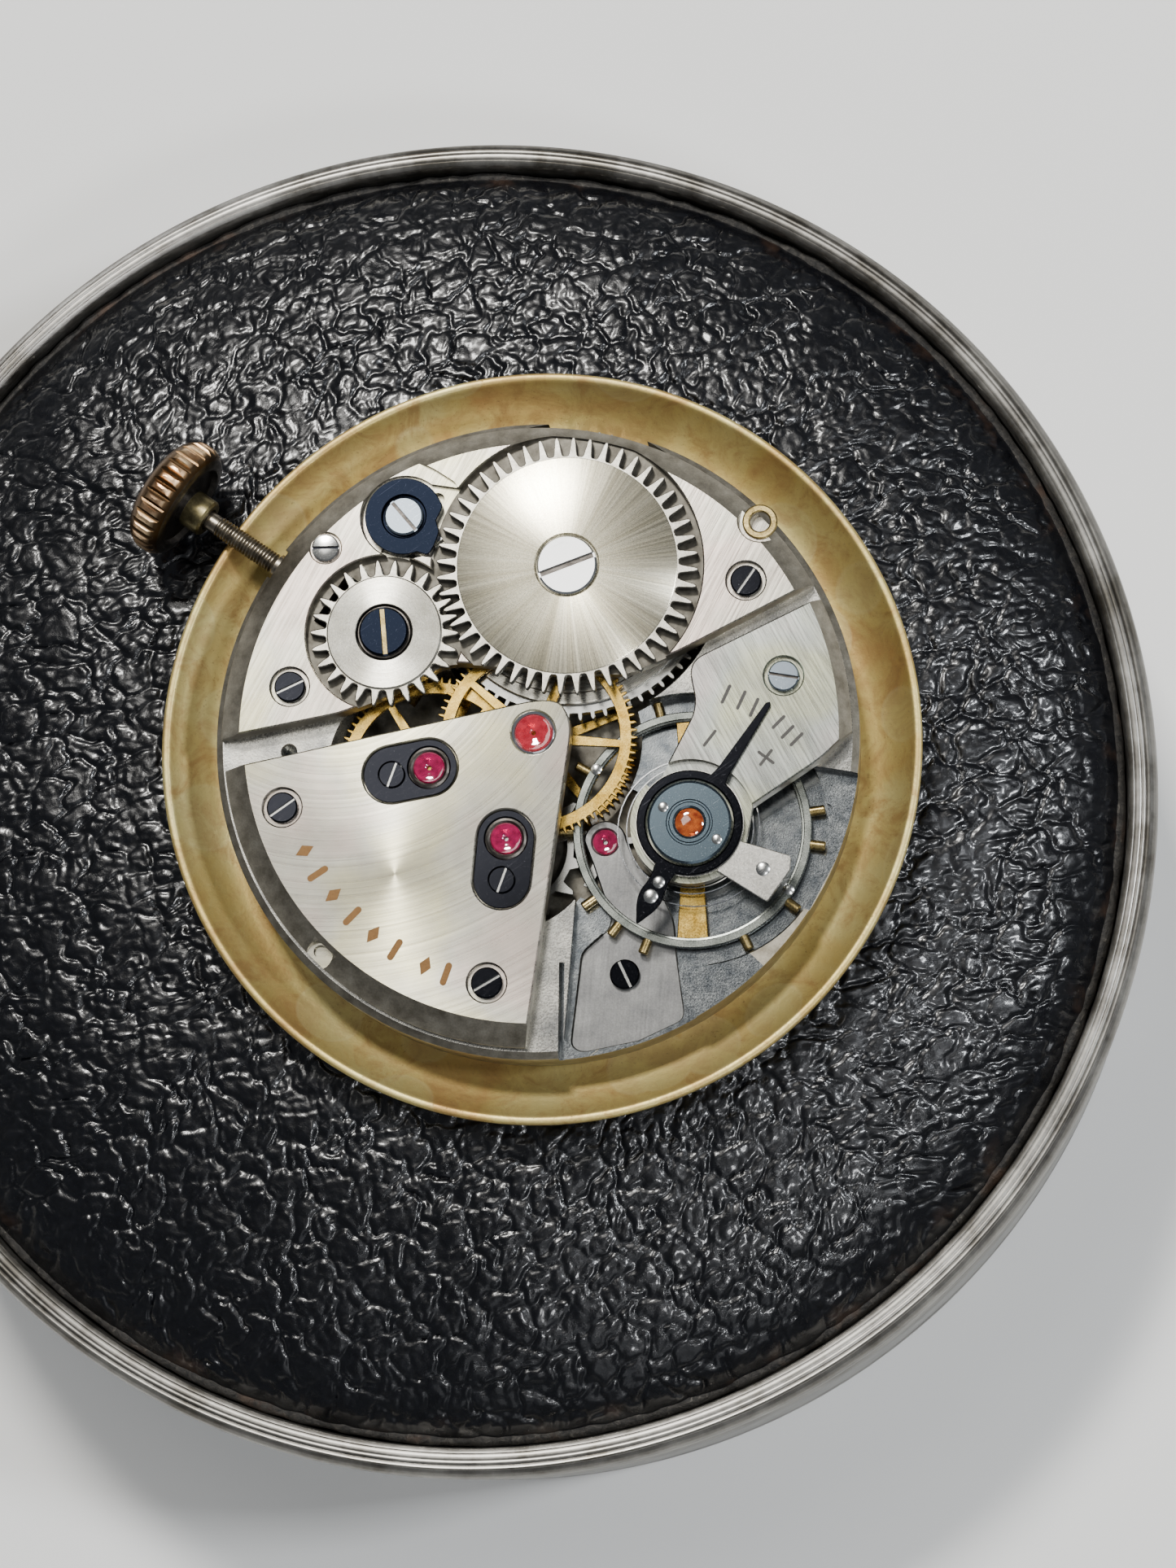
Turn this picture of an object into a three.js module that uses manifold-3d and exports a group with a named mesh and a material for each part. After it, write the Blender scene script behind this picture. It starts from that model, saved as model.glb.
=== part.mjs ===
// A watch movement holder: a leather-covered pad in a turned steel ring, loaded with the hand-wound
// movement that it holds, dial down. Millimetres, +Z up, origin at the centre of the base.
import * as THREE from "three";
import { mergeVertices } from "three/addons/utils/BufferGeometryUtils.js";
import Module from "manifold-3d";

// Driving dimensions of the holder
const RING_RADIUS = 28;
const RING_WALL = 1.25;
const RING_HEIGHT = 14;
const BASE_THICKNESS = 1.2;
const LEATHER_THICKNESS = 1.2;
const PAD_TOP = 17.25;
const PAD_EDGE = 12.2;

// Driving dimensions of the movement, in its own frame: origin at its centre, z = 0 on the dial's back
const MOVEMENT_CENTRE = [3.215, 0.952];
const DIAL_RADIUS = 15.25;
const DIAL_THICKNESS = 0.4;
const DIAL_CLEARANCE = 0.05;
const PLATE_RADIUS = 12.8;
const WEB_BOTTOM = 0.5;
const WEB_TOP = 0.75;
const BRIDGE_BOTTOM = 2.6;
const BRIDGE_TOP = 3.6;
const RECESS_FLOOR = 3.2;
const STEM_LEVEL = 1.8;
const STEM_ANGLE = 145.2;

const DIAL_BACK = PAD_TOP + DIAL_CLEARANCE + DIAL_THICKNESS;

// Axes of the wheels
const CENTRE = [0, 0];
const BARREL = [1.33, 6.7];
const CROWN_WHEEL = [-5.94, 4.12];
const CLICK = [-5.19, 8.83];
const THIRD = [-4.13, -1.33];
const ESCAPE = [-1.07, -4.2];
const PALLET = [2.68, -4.1];
const BALANCE = [6.15, -3.71];
const MINUTE = [-3.59, 0.31];
const LEVER_SCREW = [-8.33, 7.6];
const YOKE_PIVOT = [-8.2, 0.83];

// Tooth counts
const RATCHET_TEETH = 48;
const CROWN_WHEEL_TEETH = 26;
const BARREL_TEETH = 72;
const CENTRE_PINION = 12;
const CENTRE_TEETH = 80;
const THIRD_PINION = 10;
const THIRD_TEETH = 75;
const FOURTH_PINION = 10;
const FOURTH_TEETH = 80;
const ESCAPE_PINION = 8;
const ESCAPE_TEETH = 15;
const CANNON_LEAVES = 12;
const MINUTE_TEETH = 36;
const MINUTE_PINION = 10;
const HOUR_TEETH = 40;
const CROWN_FLUTES = 28;

const wasm = await Module();
wasm.setup();

// Materials
const metal = (color, roughness, metalness = 1) =>
  new THREE.MeshStandardMaterial({ color, roughness, metalness });
const steel = metal(0x9a9a98, 0.35);
const nickel = metal(0xc8c4bb, 0.3);
const brass = metal(0xb9934a, 0.38);
const gold = metal(0xd0a24c, 0.35);
const blackSteel = metal(0x17191c, 0.18);
const ruby = metal(0xb0133f, 0.12, 0);
const amber = metal(0xa83a12, 0.12, 0);
const leather = metal(0x17181b, 0.45, 0);
const felt = metal(0x6b6258, 0.95, 0);

// ---- Solids: three.js geometry in, three.js geometry out ----

function toManifold(geometry) {
  const plain = geometry.clone();
  plain.deleteAttribute("normal");
  plain.deleteAttribute("uv");
  const merged = mergeVertices(plain, 1e-4);
  const vertProperties = merged.attributes.position.array;
  const triVerts = new Uint32Array(merged.index.array);
  return new wasm.Manifold(new wasm.Mesh({ numProp: 3, vertProperties, triVerts }));
}

function toGeometry(manifold) {
  const mesh = manifold.getMesh();
  const geometry = new THREE.BufferGeometry();
  geometry.setAttribute("position", new THREE.BufferAttribute(mesh.vertProperties, 3));
  geometry.setIndex(new THREE.BufferAttribute(mesh.triVerts, 1));
  return geometry;
}

function join(...geometries) {
  return toGeometry(geometries.map(toManifold).reduce((whole, piece) => whole.add(piece)));
}

function cut(base, ...tools) {
  return toGeometry(tools.map(toManifold).reduce((left, tool) => left.subtract(tool), toManifold(base)));
}

function common(first, second) {
  return toGeometry(toManifold(first).intersect(toManifold(second)));
}

// ---- Outlines ----

const radians = THREE.MathUtils.degToRad;
const bearing = ([x0, y0], [x1, y1]) => THREE.MathUtils.radToDeg(Math.atan2(y1 - y0, x1 - x0));
const distance = ([x0, y0], [x1, y1]) => Math.hypot(x1 - x0, y1 - y0);
const polar = ([x, y], r, angle) => [x + r * Math.cos(radians(angle)), y + r * Math.sin(radians(angle))];

function arc(centre, r, from, to, steps) {
  return Array.from({ length: steps + 1 }, (_, i) => polar(centre, r, from + ((to - from) * i) / steps));
}

// Corners are [x, y] or [x, y, rounding]; a rounded corner is a curve that starts that far before it,
// or just short of halfway along a short side.
function rounded(corners, steps = 4) {
  const outline = [];
  corners.forEach(([x, y, rounding], i) => {
    if (!rounding) {
      outline.push([x, y]);
      return;
    }
    const toward = (other) => {
      const share = Math.min(rounding / distance([x, y], other), 0.45);
      return [x + (other[0] - x) * share, y + (other[1] - y) * share];
    };
    const before = toward(corners[(i + corners.length - 1) % corners.length]);
    const after = toward(corners[(i + 1) % corners.length]);
    for (let k = 0; k <= steps; k++) {
      const t = k / steps;
      const blend = (a, b, c) => (1 - t) ** 2 * a + 2 * t * (1 - t) * b + t ** 2 * c;
      outline.push([blend(before[0], x, after[0]), blend(before[1], y, after[1])]);
    }
  });
  return outline;
}

function stadium(from, to, r, steps = 8) {
  const angle = bearing(from, to);
  return [...arc(to, r, angle - 90, angle + 90, steps), ...arc(from, r, angle + 90, angle + 270, steps)];
}

// A tooth of a fine wheel is a plain triangle; `aim` is the angle of one tooth's tip.
function fineTeeth(centre, teeth, tip, root, aim) {
  const pitch = 360 / teeth;
  const outline = [];
  for (let i = 0; i < teeth; i++) {
    outline.push(polar(centre, tip, aim + i * pitch), polar(centre, root, aim + (i + 0.5) * pitch));
  }
  return outline;
}

// A winding wheel's tooth has a flat tip; widths are shares of the tooth pitch.
function bluntTeeth(centre, teeth, tip, root, aim, tipWidth = 0.26, rootWidth = 0.62) {
  const pitch = 360 / teeth;
  const outline = [];
  for (let i = 0; i < teeth; i++) {
    const middle = aim + i * pitch;
    outline.push(polar(centre, root, middle - (pitch * rootWidth) / 2));
    outline.push(polar(centre, tip, middle - (pitch * tipWidth) / 2));
    outline.push(polar(centre, tip, middle + (pitch * tipWidth) / 2));
    outline.push(polar(centre, root, middle + (pitch * rootWidth) / 2));
  }
  return outline;
}

function spokeWindows(centre, spokes, inner, outer, width, aim) {
  const windows = [];
  for (let i = 0; i < spokes; i++) {
    const start = aim + (i * 360) / spokes;
    const end = start + 360 / spokes;
    const edge = (r) => THREE.MathUtils.radToDeg(Math.asin(width / 2 / r));
    windows.push([
      ...arc(centre, outer, start + edge(outer), end - edge(outer), 4),
      ...arc(centre, inner, end - edge(inner), start + edge(inner), 2),
    ]);
  }
  return windows;
}

// ---- Basic shapes ----

function prism(outline, bottom, top, windows = []) {
  const vectors = (points) => points.map(([x, y]) => new THREE.Vector2(x, y));
  const shape = new THREE.Shape(vectors(outline));
  shape.holes = windows.map((points) => new THREE.Path(vectors(points)));
  const geometry = new THREE.ExtrudeGeometry(shape, { depth: top - bottom, bevelEnabled: false });
  return geometry.translate(0, 0, bottom);
}

function disc([x, y], r, bottom, top, segments = 20) {
  const geometry = new THREE.CylinderGeometry(r, r, top - bottom, segments);
  return geometry.rotateX(Math.PI / 2).translate(x, y, (top + bottom) / 2);
}

// Profile points are [radius, z]; a profile that doesn't start on the axis is closed here.
function lathe(profile, segments = 24, [x, y] = CENTRE) {
  const closed = profile[0][0] === 0 ? profile : [...profile, profile[0]];
  const points = closed.map(([r, z]) => new THREE.Vector2(r, z));
  return new THREE.LatheGeometry(points, segments).rotateX(Math.PI / 2).translate(x, y, 0);
}

function bar(from, to, width, bottom, top) {
  const angle = bearing(from, to);
  const side = (point, sign) => polar(point, width / 2, angle + sign * 90);
  return prism([side(from, -1), side(to, -1), side(to, 1), side(from, 1)], bottom, top);
}

// A flat strip wound on edge: the bounds of its two faces run in step round the spiral.
function spiralStrip(centre, inner, outer, turns, thickness, from, stepsPerTurn) {
  const steps = Math.round(turns * stepsPerTurn);
  const at = (i, offset) => {
    const r = inner + ((outer - inner) * i) / steps + offset;
    return polar(centre, r, from + (i * 360 * turns) / steps);
  };
  const outside = Array.from({ length: steps + 1 }, (_, i) => at(i, thickness / 2));
  const inside = Array.from({ length: steps + 1 }, (_, i) => at(steps - i, -thickness / 2));
  return [...outside, ...inside];
}

const holder = new THREE.Group();
const movement = new THREE.Group();
movement.position.set(...MOVEMENT_CENTRE, DIAL_BACK);
const stemLine = new THREE.Group();
const stemDirection = new THREE.Vector3(...polar(CENTRE, 1, STEM_ANGLE), 0);
stemLine.position.set(0, 0, STEM_LEVEL);
stemLine.quaternion.setFromUnitVectors(new THREE.Vector3(0, 0, 1), stemDirection);
movement.add(stemLine);
holder.add(movement);

function place(group, name, geometry, material) {
  const mesh = new THREE.Mesh(geometry, material);
  mesh.name = name;
  group.add(mesh);
}

// A point on the stem's line, s from the movement's centre and to one side of it
function onStem(s, side = 0) {
  return polar(polar(CENTRE, s, STEM_ANGLE), side, STEM_ANGLE + 90);
}

// ---- The holder ----

const PAD_SEGMENTS = 32;
const CORE_SEGMENTS = 24;
const RING_SEGMENTS = 48;
const REBATE_DEPTH = 0.5;

function makeRing() {
  const bore = RING_RADIUS - RING_WALL;
  const rebate = bore + REBATE_DEPTH;
  return lathe(
    [
      [rebate, 0],
      [RING_RADIUS - 0.3, 0],
      [RING_RADIUS, 0.3],
      [RING_RADIUS, RING_HEIGHT - 1.1],
      [RING_RADIUS - 0.35, RING_HEIGHT - 0.55],
      [RING_RADIUS - 0.35, RING_HEIGHT],
      [bore + 0.15, RING_HEIGHT],
      [bore, RING_HEIGHT - 0.3],
      [bore, BASE_THICKNESS],
      [rebate, BASE_THICKNESS],
    ],
    RING_SEGMENTS,
  );
}

function makeBasePlate() {
  const edge = RING_RADIUS - RING_WALL + REBATE_DEPTH - 0.1;
  return lathe([[0, 0], [edge, 0], [edge, BASE_THICKNESS - 0.05], [0, BASE_THICKNESS - 0.05]], RING_SEGMENTS);
}

// The pad's crown, as [radius, height] from the centre out to the ring
function padCrown(steps) {
  const edgeRadius = RING_RADIUS - RING_WALL - 0.25;
  const crown = [];
  for (let i = 0; i <= steps; i++) {
    const share = Math.sin((Math.PI / 2) * (i / steps));
    const drop = 1 - Math.sqrt(Math.max(0, 1 - share ** 3.2));
    crown.push([edgeRadius * share, PAD_TOP - (PAD_TOP - PAD_EDGE) * drop]);
  }
  return crown;
}

function makeLeatherCover() {
  const outside = padCrown(6);
  const scale = (outside.at(-1)[0] - LEATHER_THICKNESS) / outside.at(-1)[0];
  const inside = outside.map(([r, z]) => [r * scale, z - LEATHER_THICKNESS]);
  const hem = BASE_THICKNESS + 0.15;
  const profile = [[inside.at(-1)[0], hem], [outside.at(-1)[0], hem], ...outside.reverse(), ...inside];
  return cut(latheOpen(profile), disc(MOVEMENT_CENTRE, 1.6, PAD_TOP - 0.95, PAD_TOP + 1));
}

// A shell's profile runs from one wall foot over the axis and back, so it is closed at its foot.
function latheOpen(profile) {
  const foot = profile.findIndex(([r]) => r === 0);
  const outer = [[0, profile[0][1]], ...profile.slice(1, foot + 1)];
  const inner = [[0, profile[0][1] - 1], [profile[0][0], profile[0][1] - 1], ...profile.slice(foot + 1).reverse()];
  return cut(lathe(outer, PAD_SEGMENTS), lathe(inner, PAD_SEGMENTS));
}

function makePadCore() {
  const gap = 0.3;
  const crown = padCrown(5);
  const wall = crown.at(-1)[0] - LEATHER_THICKNESS - gap;
  const scale = wall / crown.at(-1)[0];
  const top = crown.map(([r, z]) => [r * scale, z - LEATHER_THICKNESS - gap]);
  return lathe([[0, BASE_THICKNESS + gap], [wall, BASE_THICKNESS + gap], ...top.reverse()], CORE_SEGMENTS);
}

place(holder, "rim_ring", makeRing(), steel);
place(holder, "base_plate", makeBasePlate(), steel);
place(holder, "pad_core", makePadCore(), felt);
place(holder, "leather_cover", makeLeatherCover(), leather);

// ---- Dial and main plate ----

function makeDial() {
  return lathe(
    [
      [1.0, -DIAL_THICKNESS],
      [12.9, -DIAL_THICKNESS],
      [14.3, 0.1],
      [DIAL_RADIUS, 1.0],
      [DIAL_RADIUS, 1.3],
      [14.9, 1.3],
      [14.0, 0.5],
      [12.9, 0],
      [1.0, 0],
    ],
    PAD_SEGMENTS,
  );
}

const BALANCE_FLOOR = 1.5;
const FORK_FLOOR = 0.95;
const PALLET_BRIDGE_BOTTOM = 1.38;
const PALLET_BRIDGE_TOP = 1.66;
const OPEN_PLATE_TOP = 2.2;
const ABOVE = BRIDGE_TOP + 1;
const SCREW_SHANK = 0.28;
const SCREW_BORE = 0.33;

const BRIDGE_SCREWS = [
  { name: "barrel_bridge_screw_left", at: [-9.7, 2.0], slot: 25 },
  { name: "barrel_bridge_screw_right", at: [8.41, 5.95], slot: 55 },
  { name: "train_bridge_screw_upper", at: [-9.94, -2.85], slot: 35 },
  { name: "train_bridge_screw_lower", at: [-1.8, -9.9], slot: 30 },
  { name: "balance_cock_screw", at: [9.86, 2.1], slot: -10 },
];
const PALLET_SCREW = { name: "pallet_bridge_screw", at: [3.46, -9.4], slot: -65 };

function palletBridgeOutline() {
  return rounded([
    ...arc(PALLET, 0.85, 175, 5, 6),
    [3.75, -4.6],
    [4.0, -5.1],
    [4.65, -5.65, 0.3],
    [5.4, -7.2, 0.4],
    [5.5, -8.6],
    [5.85, -11.2, 0.4],
    [4.0, -12.05],
    [1.75, -12.5, 0.4],
    [1.3, -12.2, 0.3],
    [1.75, -8.5, 0.3],
    [3.0, -7.4, 0.5],
    [2.2, -5.0],
  ]);
}

function makeMainPlate() {
  const body = lathe(
    [[0, WEB_BOTTOM], [11.9, WEB_BOTTOM], [11.9, 0], [PLATE_RADIUS, 0], [PLATE_RADIUS, BRIDGE_BOTTOM], [0, BRIDGE_BOTTOM]],
    48,
  );
  const openSector = [
    [1.0, -13.5],
    [1.9, -2.5],
    [4.0, 0.5],
    [6.6, -0.6],
    [13.5, -1.75],
    [13.5, -13.5],
  ];
  const wells = [
    disc(BARREL, 6.15, WEB_TOP, ABOVE, 32),
    disc(CENTRE, 4.15, WEB_TOP, ABOVE, 24),
    disc(THIRD, 4.15, WEB_TOP, ABOVE, 24),
    disc(ESCAPE, 3.45, WEB_TOP, ABOVE, 20),
    disc(PALLET, 2.4, FORK_FLOOR, ABOVE, 16),
    disc(BALANCE, 5.4, BALANCE_FLOOR, ABOVE, 28),
    disc(BALANCE, 1.25, FORK_FLOOR, ABOVE, 14),
    bar(PALLET, BALANCE, 1.5, FORK_FLOOR, ABOVE),
    prism(openSector, OPEN_PLATE_TOP, ABOVE),
    prism(palletBridgeOutline(), PALLET_BRIDGE_BOTTOM - 0.02, ABOVE),
  ];
  const keyless = [
    bar(onStem(5.1), onStem(10.5), 3.1, -1, ABOVE),
    bar(onStem(10.2), onStem(14), 1.3, WEB_TOP + 0.4, ABOVE),
    bar(onStem(10.5), onStem(12.45), 1.3, -1, WEB_TOP + 0.5),
    disc(LEVER_SCREW, SCREW_BORE, -1, ABOVE, 8),
  ];
  const screws = [...BRIDGE_SCREWS, PALLET_SCREW].map(({ at }) => disc(at, SCREW_BORE + 0.02, 1, ABOVE, 8));
  const pivots = [
    disc(CENTRE, 0.5, -1, ABOVE, 12),
    disc(BARREL, 0.58, -1, ABOVE, 12),
    ...[THIRD, ESCAPE, PALLET, BALANCE].map((axis) => disc(axis, 0.2, -1, ABOVE, 8)),
  ];
  return cut(body, ...wells, ...keyless, ...screws, ...pivots);
}

place(movement, "dial", makeDial(), brass);
place(movement, "main_plate", makeMainPlate(), nickel);

// ---- Bridges ----

const JEWEL_FLOOR = 3.1;
const CAP_FLOOR = 3.3;
const PIVOT_BORE = 0.2;
const RATCHET_RECESS = 5.4;
const CROWN_RECESS = 3.15;

// Full disc with the bevelled edge that all the bridges share
function bevelledBlank(top, edge) {
  return lathe(
    [[0, BRIDGE_BOTTOM], [edge, BRIDGE_BOTTOM], [edge, BRIDGE_TOP - 0.6], [top, BRIDGE_TOP], [0, BRIDGE_TOP]],
    60,
  );
}

function screwSeat(at, floor) {
  return join(disc(at, 0.77, floor, ABOVE, 14), disc(at, SCREW_BORE + 0.02, 0, floor + 0.1, 8));
}

const HEAD_FLOOR = 3.4;

function makeBarrelBridge() {
  const outline = rounded([
    [-13.5, -0.2],
    [-7.7, 0.9, 0.4],
    [-6.1, 1.5, 0.5],
    [-3.4, 2.9, 0.6],
    [3.6, 2.3, 0.5],
    [5.8, 3.2],
    [13.5, 7.1],
    [13.5, 13.5],
    [-13.5, 13.5],
  ]);
  const [leftScrew, rightScrew] = BRIDGE_SCREWS;
  return cut(
    common(bevelledBlank(11.7, 12.5), prism(outline, 0, ABOVE)),
    disc(BARREL, RATCHET_RECESS, RECESS_FLOOR, ABOVE, 40),
    disc(BARREL, 0.75, 0, ABOVE, 16),
    disc(CROWN_WHEEL, CROWN_RECESS, RECESS_FLOOR, ABOVE, 28),
    disc(CROWN_WHEEL, 0.33, 0, ABOVE, 12),
    bar(onStem(8.1), onStem(9.95), 2.3, 0, ABOVE),
    disc(CLICK, 1.72, RECESS_FLOOR, ABOVE, 24),
    bar(CLICK, [-2.6, 8.4], 3.0, RECESS_FLOOR, ABOVE),
    disc(CLICK, SCREW_BORE, 0, ABOVE, 12),
    clickSpringGroove(),
    disc([8.97, 8.37], 0.85, 3.3, ABOVE, 16),
    screwSeat(LEVER_SCREW, BRIDGE_TOP - 0.12),
    screwSeat(leftScrew.at, HEAD_FLOOR),
    screwSeat(rightScrew.at, HEAD_FLOOR),
  );
}

const CLICK_SPRING_PATH = [[-6.1, 7.75], [-4.6, 7.45], [-3.75, 8.05]];

function clickSpringGroove() {
  const [start, bend, end] = CLICK_SPRING_PATH;
  return join(bar(start, bend, 0.6, 2.95, ABOVE), bar(bend, end, 0.6, 2.95, ABOVE), disc(bend, 0.3, 2.95, ABOVE, 10));
}

const CAPS = [
  { name: "third", jewel: THIRD, screw: [-5.6, -1.6] },
  { name: "escape", jewel: ESCAPE, screw: [-1.23, -5.85] },
];
const CAP_RADIUS = 1.12;

function makeTrainBridge() {
  const outline = rounded([
    [-13.5, -1.52],
    [0.9, 1.48, 1.5],
    [1.55, 0.4, 0.9],
    [-0.5, -13.5],
    [-13.5, -13.5],
  ]);
  const caps = CAPS.flatMap(({ jewel, screw }) => [
    prism(stadium(jewel, screw, CAP_RADIUS + 0.04), CAP_FLOOR, ABOVE),
    disc(jewel, PIVOT_BORE, 0, ABOVE, 10),
    disc(screw, 0.22, 2.8, ABOVE, 10),
  ]);
  const [, , upperScrew, lowerScrew] = BRIDGE_SCREWS;
  return cut(
    common(bevelledBlank(11.5, 12.4), prism(outline, 0, ABOVE)),
    ...caps,
    disc(CENTRE, PIVOT_BORE, 0, ABOVE, 10),
    disc(CENTRE, 0.87, JEWEL_FLOOR, ABOVE, 20),
    screwSeat(upperScrew.at, HEAD_FLOOR),
    screwSeat(lowerScrew.at, HEAD_FLOOR),
  );
}

const COCK_END = 2.35;
const CARRIER_BOTTOM = 3.35;

function makeBalanceCock() {
  const outline = rounded([
    [13.5, 6.3],
    [6.1, 2.72, 0.7],
    [6.45, 0.9, 0.6],
    [4.75, -2.4],
    ...arc(BALANCE, COCK_END, 137, 335, 10),
    [8.6, -3.0],
    [11.3, -1.2, 0.5],
    [13.5, 0.9],
  ]);
  const cockScrew = BRIDGE_SCREWS[4];
  return cut(
    common(bevelledBlank(12.0, 12.5), prism(outline, 0, ABOVE)),
    disc(BALANCE, COCK_END + 0.2, CARRIER_BOTTOM - 0.02, ABOVE, 28),
    disc(BALANCE, 1.28, 0, ABOVE, 20),
    screwSeat(cockScrew.at, HEAD_FLOOR),
  );
}

function makePalletBridge() {
  return cut(
    prism(palletBridgeOutline(), PALLET_BRIDGE_BOTTOM, PALLET_BRIDGE_TOP),
    disc(PALLET, 0.52, PALLET_BRIDGE_BOTTOM + 0.08, ABOVE, 14),
    disc(PALLET, 0.15, 0, ABOVE, 10),
    disc(PALLET_SCREW.at, SCREW_BORE, 0, ABOVE, 12),
  );
}

place(movement, "barrel_bridge", makeBarrelBridge(), nickel);
place(movement, "train_bridge", makeTrainBridge(), nickel);
place(movement, "balance_cock", makeBalanceCock(), nickel);
place(movement, "pallet_bridge", makePalletBridge(), steel);

// ---- Screws ----

const SCREW_SIDES = 10;

function makeScrew([x, y], slot, head, seat, top, shank, foot) {
  const body = lathe(
    [[0, foot], [shank, foot], [shank, seat], [head, seat], [head, top], [0, top]],
    SCREW_SIDES,
    [x, y],
  );
  const slotEnd = (sign) => polar([x, y], head + 1, slot + (sign > 0 ? 0 : 180));
  return cut(body, bar(slotEnd(-1), slotEnd(1), head * 0.24, top - 0.1, top + 1));
}

for (const { name, at, slot } of BRIDGE_SCREWS) {
  place(movement, name, makeScrew(at, slot, 0.62, HEAD_FLOOR + 0.03, 3.66, SCREW_SHANK, 1.3), blackSteel);
}
{
  const { name, at, slot } = PALLET_SCREW;
  const seat = PALLET_BRIDGE_TOP + 0.02;
  place(movement, name, makeScrew(at, slot, 0.59, seat, seat + 0.24, 0.25, 1.1), blackSteel);
}
place(
  movement,
  "setting_lever_screw",
  makeScrew(LEVER_SCREW, 0, 0.55, BRIDGE_TOP - 0.1, BRIDGE_TOP + 0.14, 0.25, WEB_BOTTOM),
  blackSteel,
);

// ---- Jewels and cap plates ----

function makeJewel(at, r, bottom, top) {
  return lathe([[0, bottom], [r, bottom], [r, top - 0.08], [r - 0.1, top], [0, top - 0.08]], 12, at);
}

for (const { name, jewel, screw } of CAPS) {
  const top = BRIDGE_TOP - 0.04;
  const plate = cut(
    prism(stadium(jewel, screw, CAP_RADIUS), CAP_FLOOR + 0.02, top),
    disc(jewel, 0.66, 0, ABOVE, 18),
    disc(screw, 0.56, top - 0.1, ABOVE, 16),
    disc(screw, 0.22, 0, ABOVE, 10),
  );
  place(movement, `${name}_cap_plate`, plate, blackSteel);
  place(movement, `${name}_jewel`, makeJewel(jewel, 0.62, CAP_FLOOR + 0.04, top), ruby);
  place(movement, `${name}_cap_screw`, makeScrew(screw, 70, 0.53, top - 0.08, top + 0.06, 0.18, 2.9), blackSteel);
}
place(movement, "centre_jewel", makeJewel(CENTRE, 0.84, JEWEL_FLOOR + 0.02, BRIDGE_TOP - 0.04), ruby);
place(movement, "pallet_jewel", makeJewel(PALLET, 0.5, PALLET_BRIDGE_BOTTOM + 0.1, PALLET_BRIDGE_TOP), ruby);

// ---- Barrel, ratchet wheel, crown wheel and click ----

const DRUM_BOTTOM = 1.0;
const DRUM_TOP = 2.0;
const DRUM_RADIUS = 5.35;
const BARREL_PITCH = distance(CENTRE, BARREL) * (BARREL_TEETH / (BARREL_TEETH + CENTRE_PINION));

function makeBarrelDrum() {
  const aim = bearing(BARREL, CENTRE);
  return cut(
    join(
      disc(BARREL, DRUM_RADIUS, DRUM_BOTTOM, DRUM_TOP, 36),
      prism(fineTeeth(BARREL, BARREL_TEETH, BARREL_PITCH + 0.11, BARREL_PITCH - 0.18, aim), 1.55, 1.95),
    ),
    disc(BARREL, DRUM_RADIUS - 0.25, DRUM_BOTTOM + 0.15, ABOVE, 32),
    disc(BARREL, 0.78, 0, ABOVE, 16),
  );
}

function makeBarrelCover() {
  return cut(disc(BARREL, DRUM_RADIUS, DRUM_TOP + 0.02, DRUM_TOP + 0.15, 36), disc(BARREL, 0.78, 0, ABOVE, 16));
}

function makeMainspring() {
  return prism(spiralStrip(BARREL, 1.6, 4.85, 4, 0.14, 20, 11), 1.25, 1.9);
}

const WINDING_BOTTOM = 3.25;
const WINDING_TOP = 3.7;

function makeBarrelArbor() {
  const body = lathe(
    [[0, 0.55], [0.5, 0.55], [0.5, 1.2], [1.3, 1.2], [1.3, 1.95], [0.7, 1.95], [0.7, 3.22], [0, 3.22]],
    12,
    BARREL,
  );
  const square = bar(polar(BARREL, 0.45, 180), polar(BARREL, 0.45, 0), 0.9, 3.1, 3.45);
  return cut(join(body, square), disc(BARREL, 0.35, 2.8, ABOVE, 12));
}

function makeRatchetWheel() {
  const aim = bearing(BARREL, CROWN_WHEEL);
  return cut(
    prism(bluntTeeth(BARREL, RATCHET_TEETH, 5.2, 4.45, aim), WINDING_BOTTOM, WINDING_TOP),
    disc(BARREL, 1.25, 3.5, ABOVE, 20),
    bar(polar(BARREL, 0.54, 180), polar(BARREL, 0.54, 0), 1.08, 0, ABOVE),
  );
}

function makeCrownWheel() {
  const aim = bearing(CROWN_WHEEL, BARREL) + 180 / CROWN_WHEEL_TEETH;
  return cut(
    prism(bluntTeeth(CROWN_WHEEL, CROWN_WHEEL_TEETH, 2.97, 2.42, aim), WINDING_BOTTOM, WINDING_TOP),
    disc(CROWN_WHEEL, 1.13, 0, ABOVE, 20),
  );
}

function makeClick() {
  const [x, y] = CLICK;
  const outline = rounded([
    ...arc(CLICK, 1.56, 42, 290, 14),
    [x + 1.1, y - 1.62, 0.2],
    [x + 1.35, y - 1.2],
    [x + 1.55, y - 0.66, 0.15],
    [x + 1.4, y - 0.2],
    [x + 1.62, y + 0.22],
    [x + 1.66, y + 0.42, 0.1],
    [x + 1.4, y + 0.85],
  ]);
  return cut(
    prism(outline, WINDING_BOTTOM + 0.02, WINDING_TOP - 0.06),
    disc(CLICK, 0.86, 3.48, ABOVE, 18),
    disc(CLICK, 0.3, 0, ABOVE, 12),
  );
}

function makeClickSpring() {
  const [start, bend, end] = CLICK_SPRING_PATH;
  return join(bar(start, bend, 0.2, 3.0, 3.22), bar(bend, end, 0.2, 3.0, 3.22), disc(bend, 0.1, 3.0, 3.22, 10));
}

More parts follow.
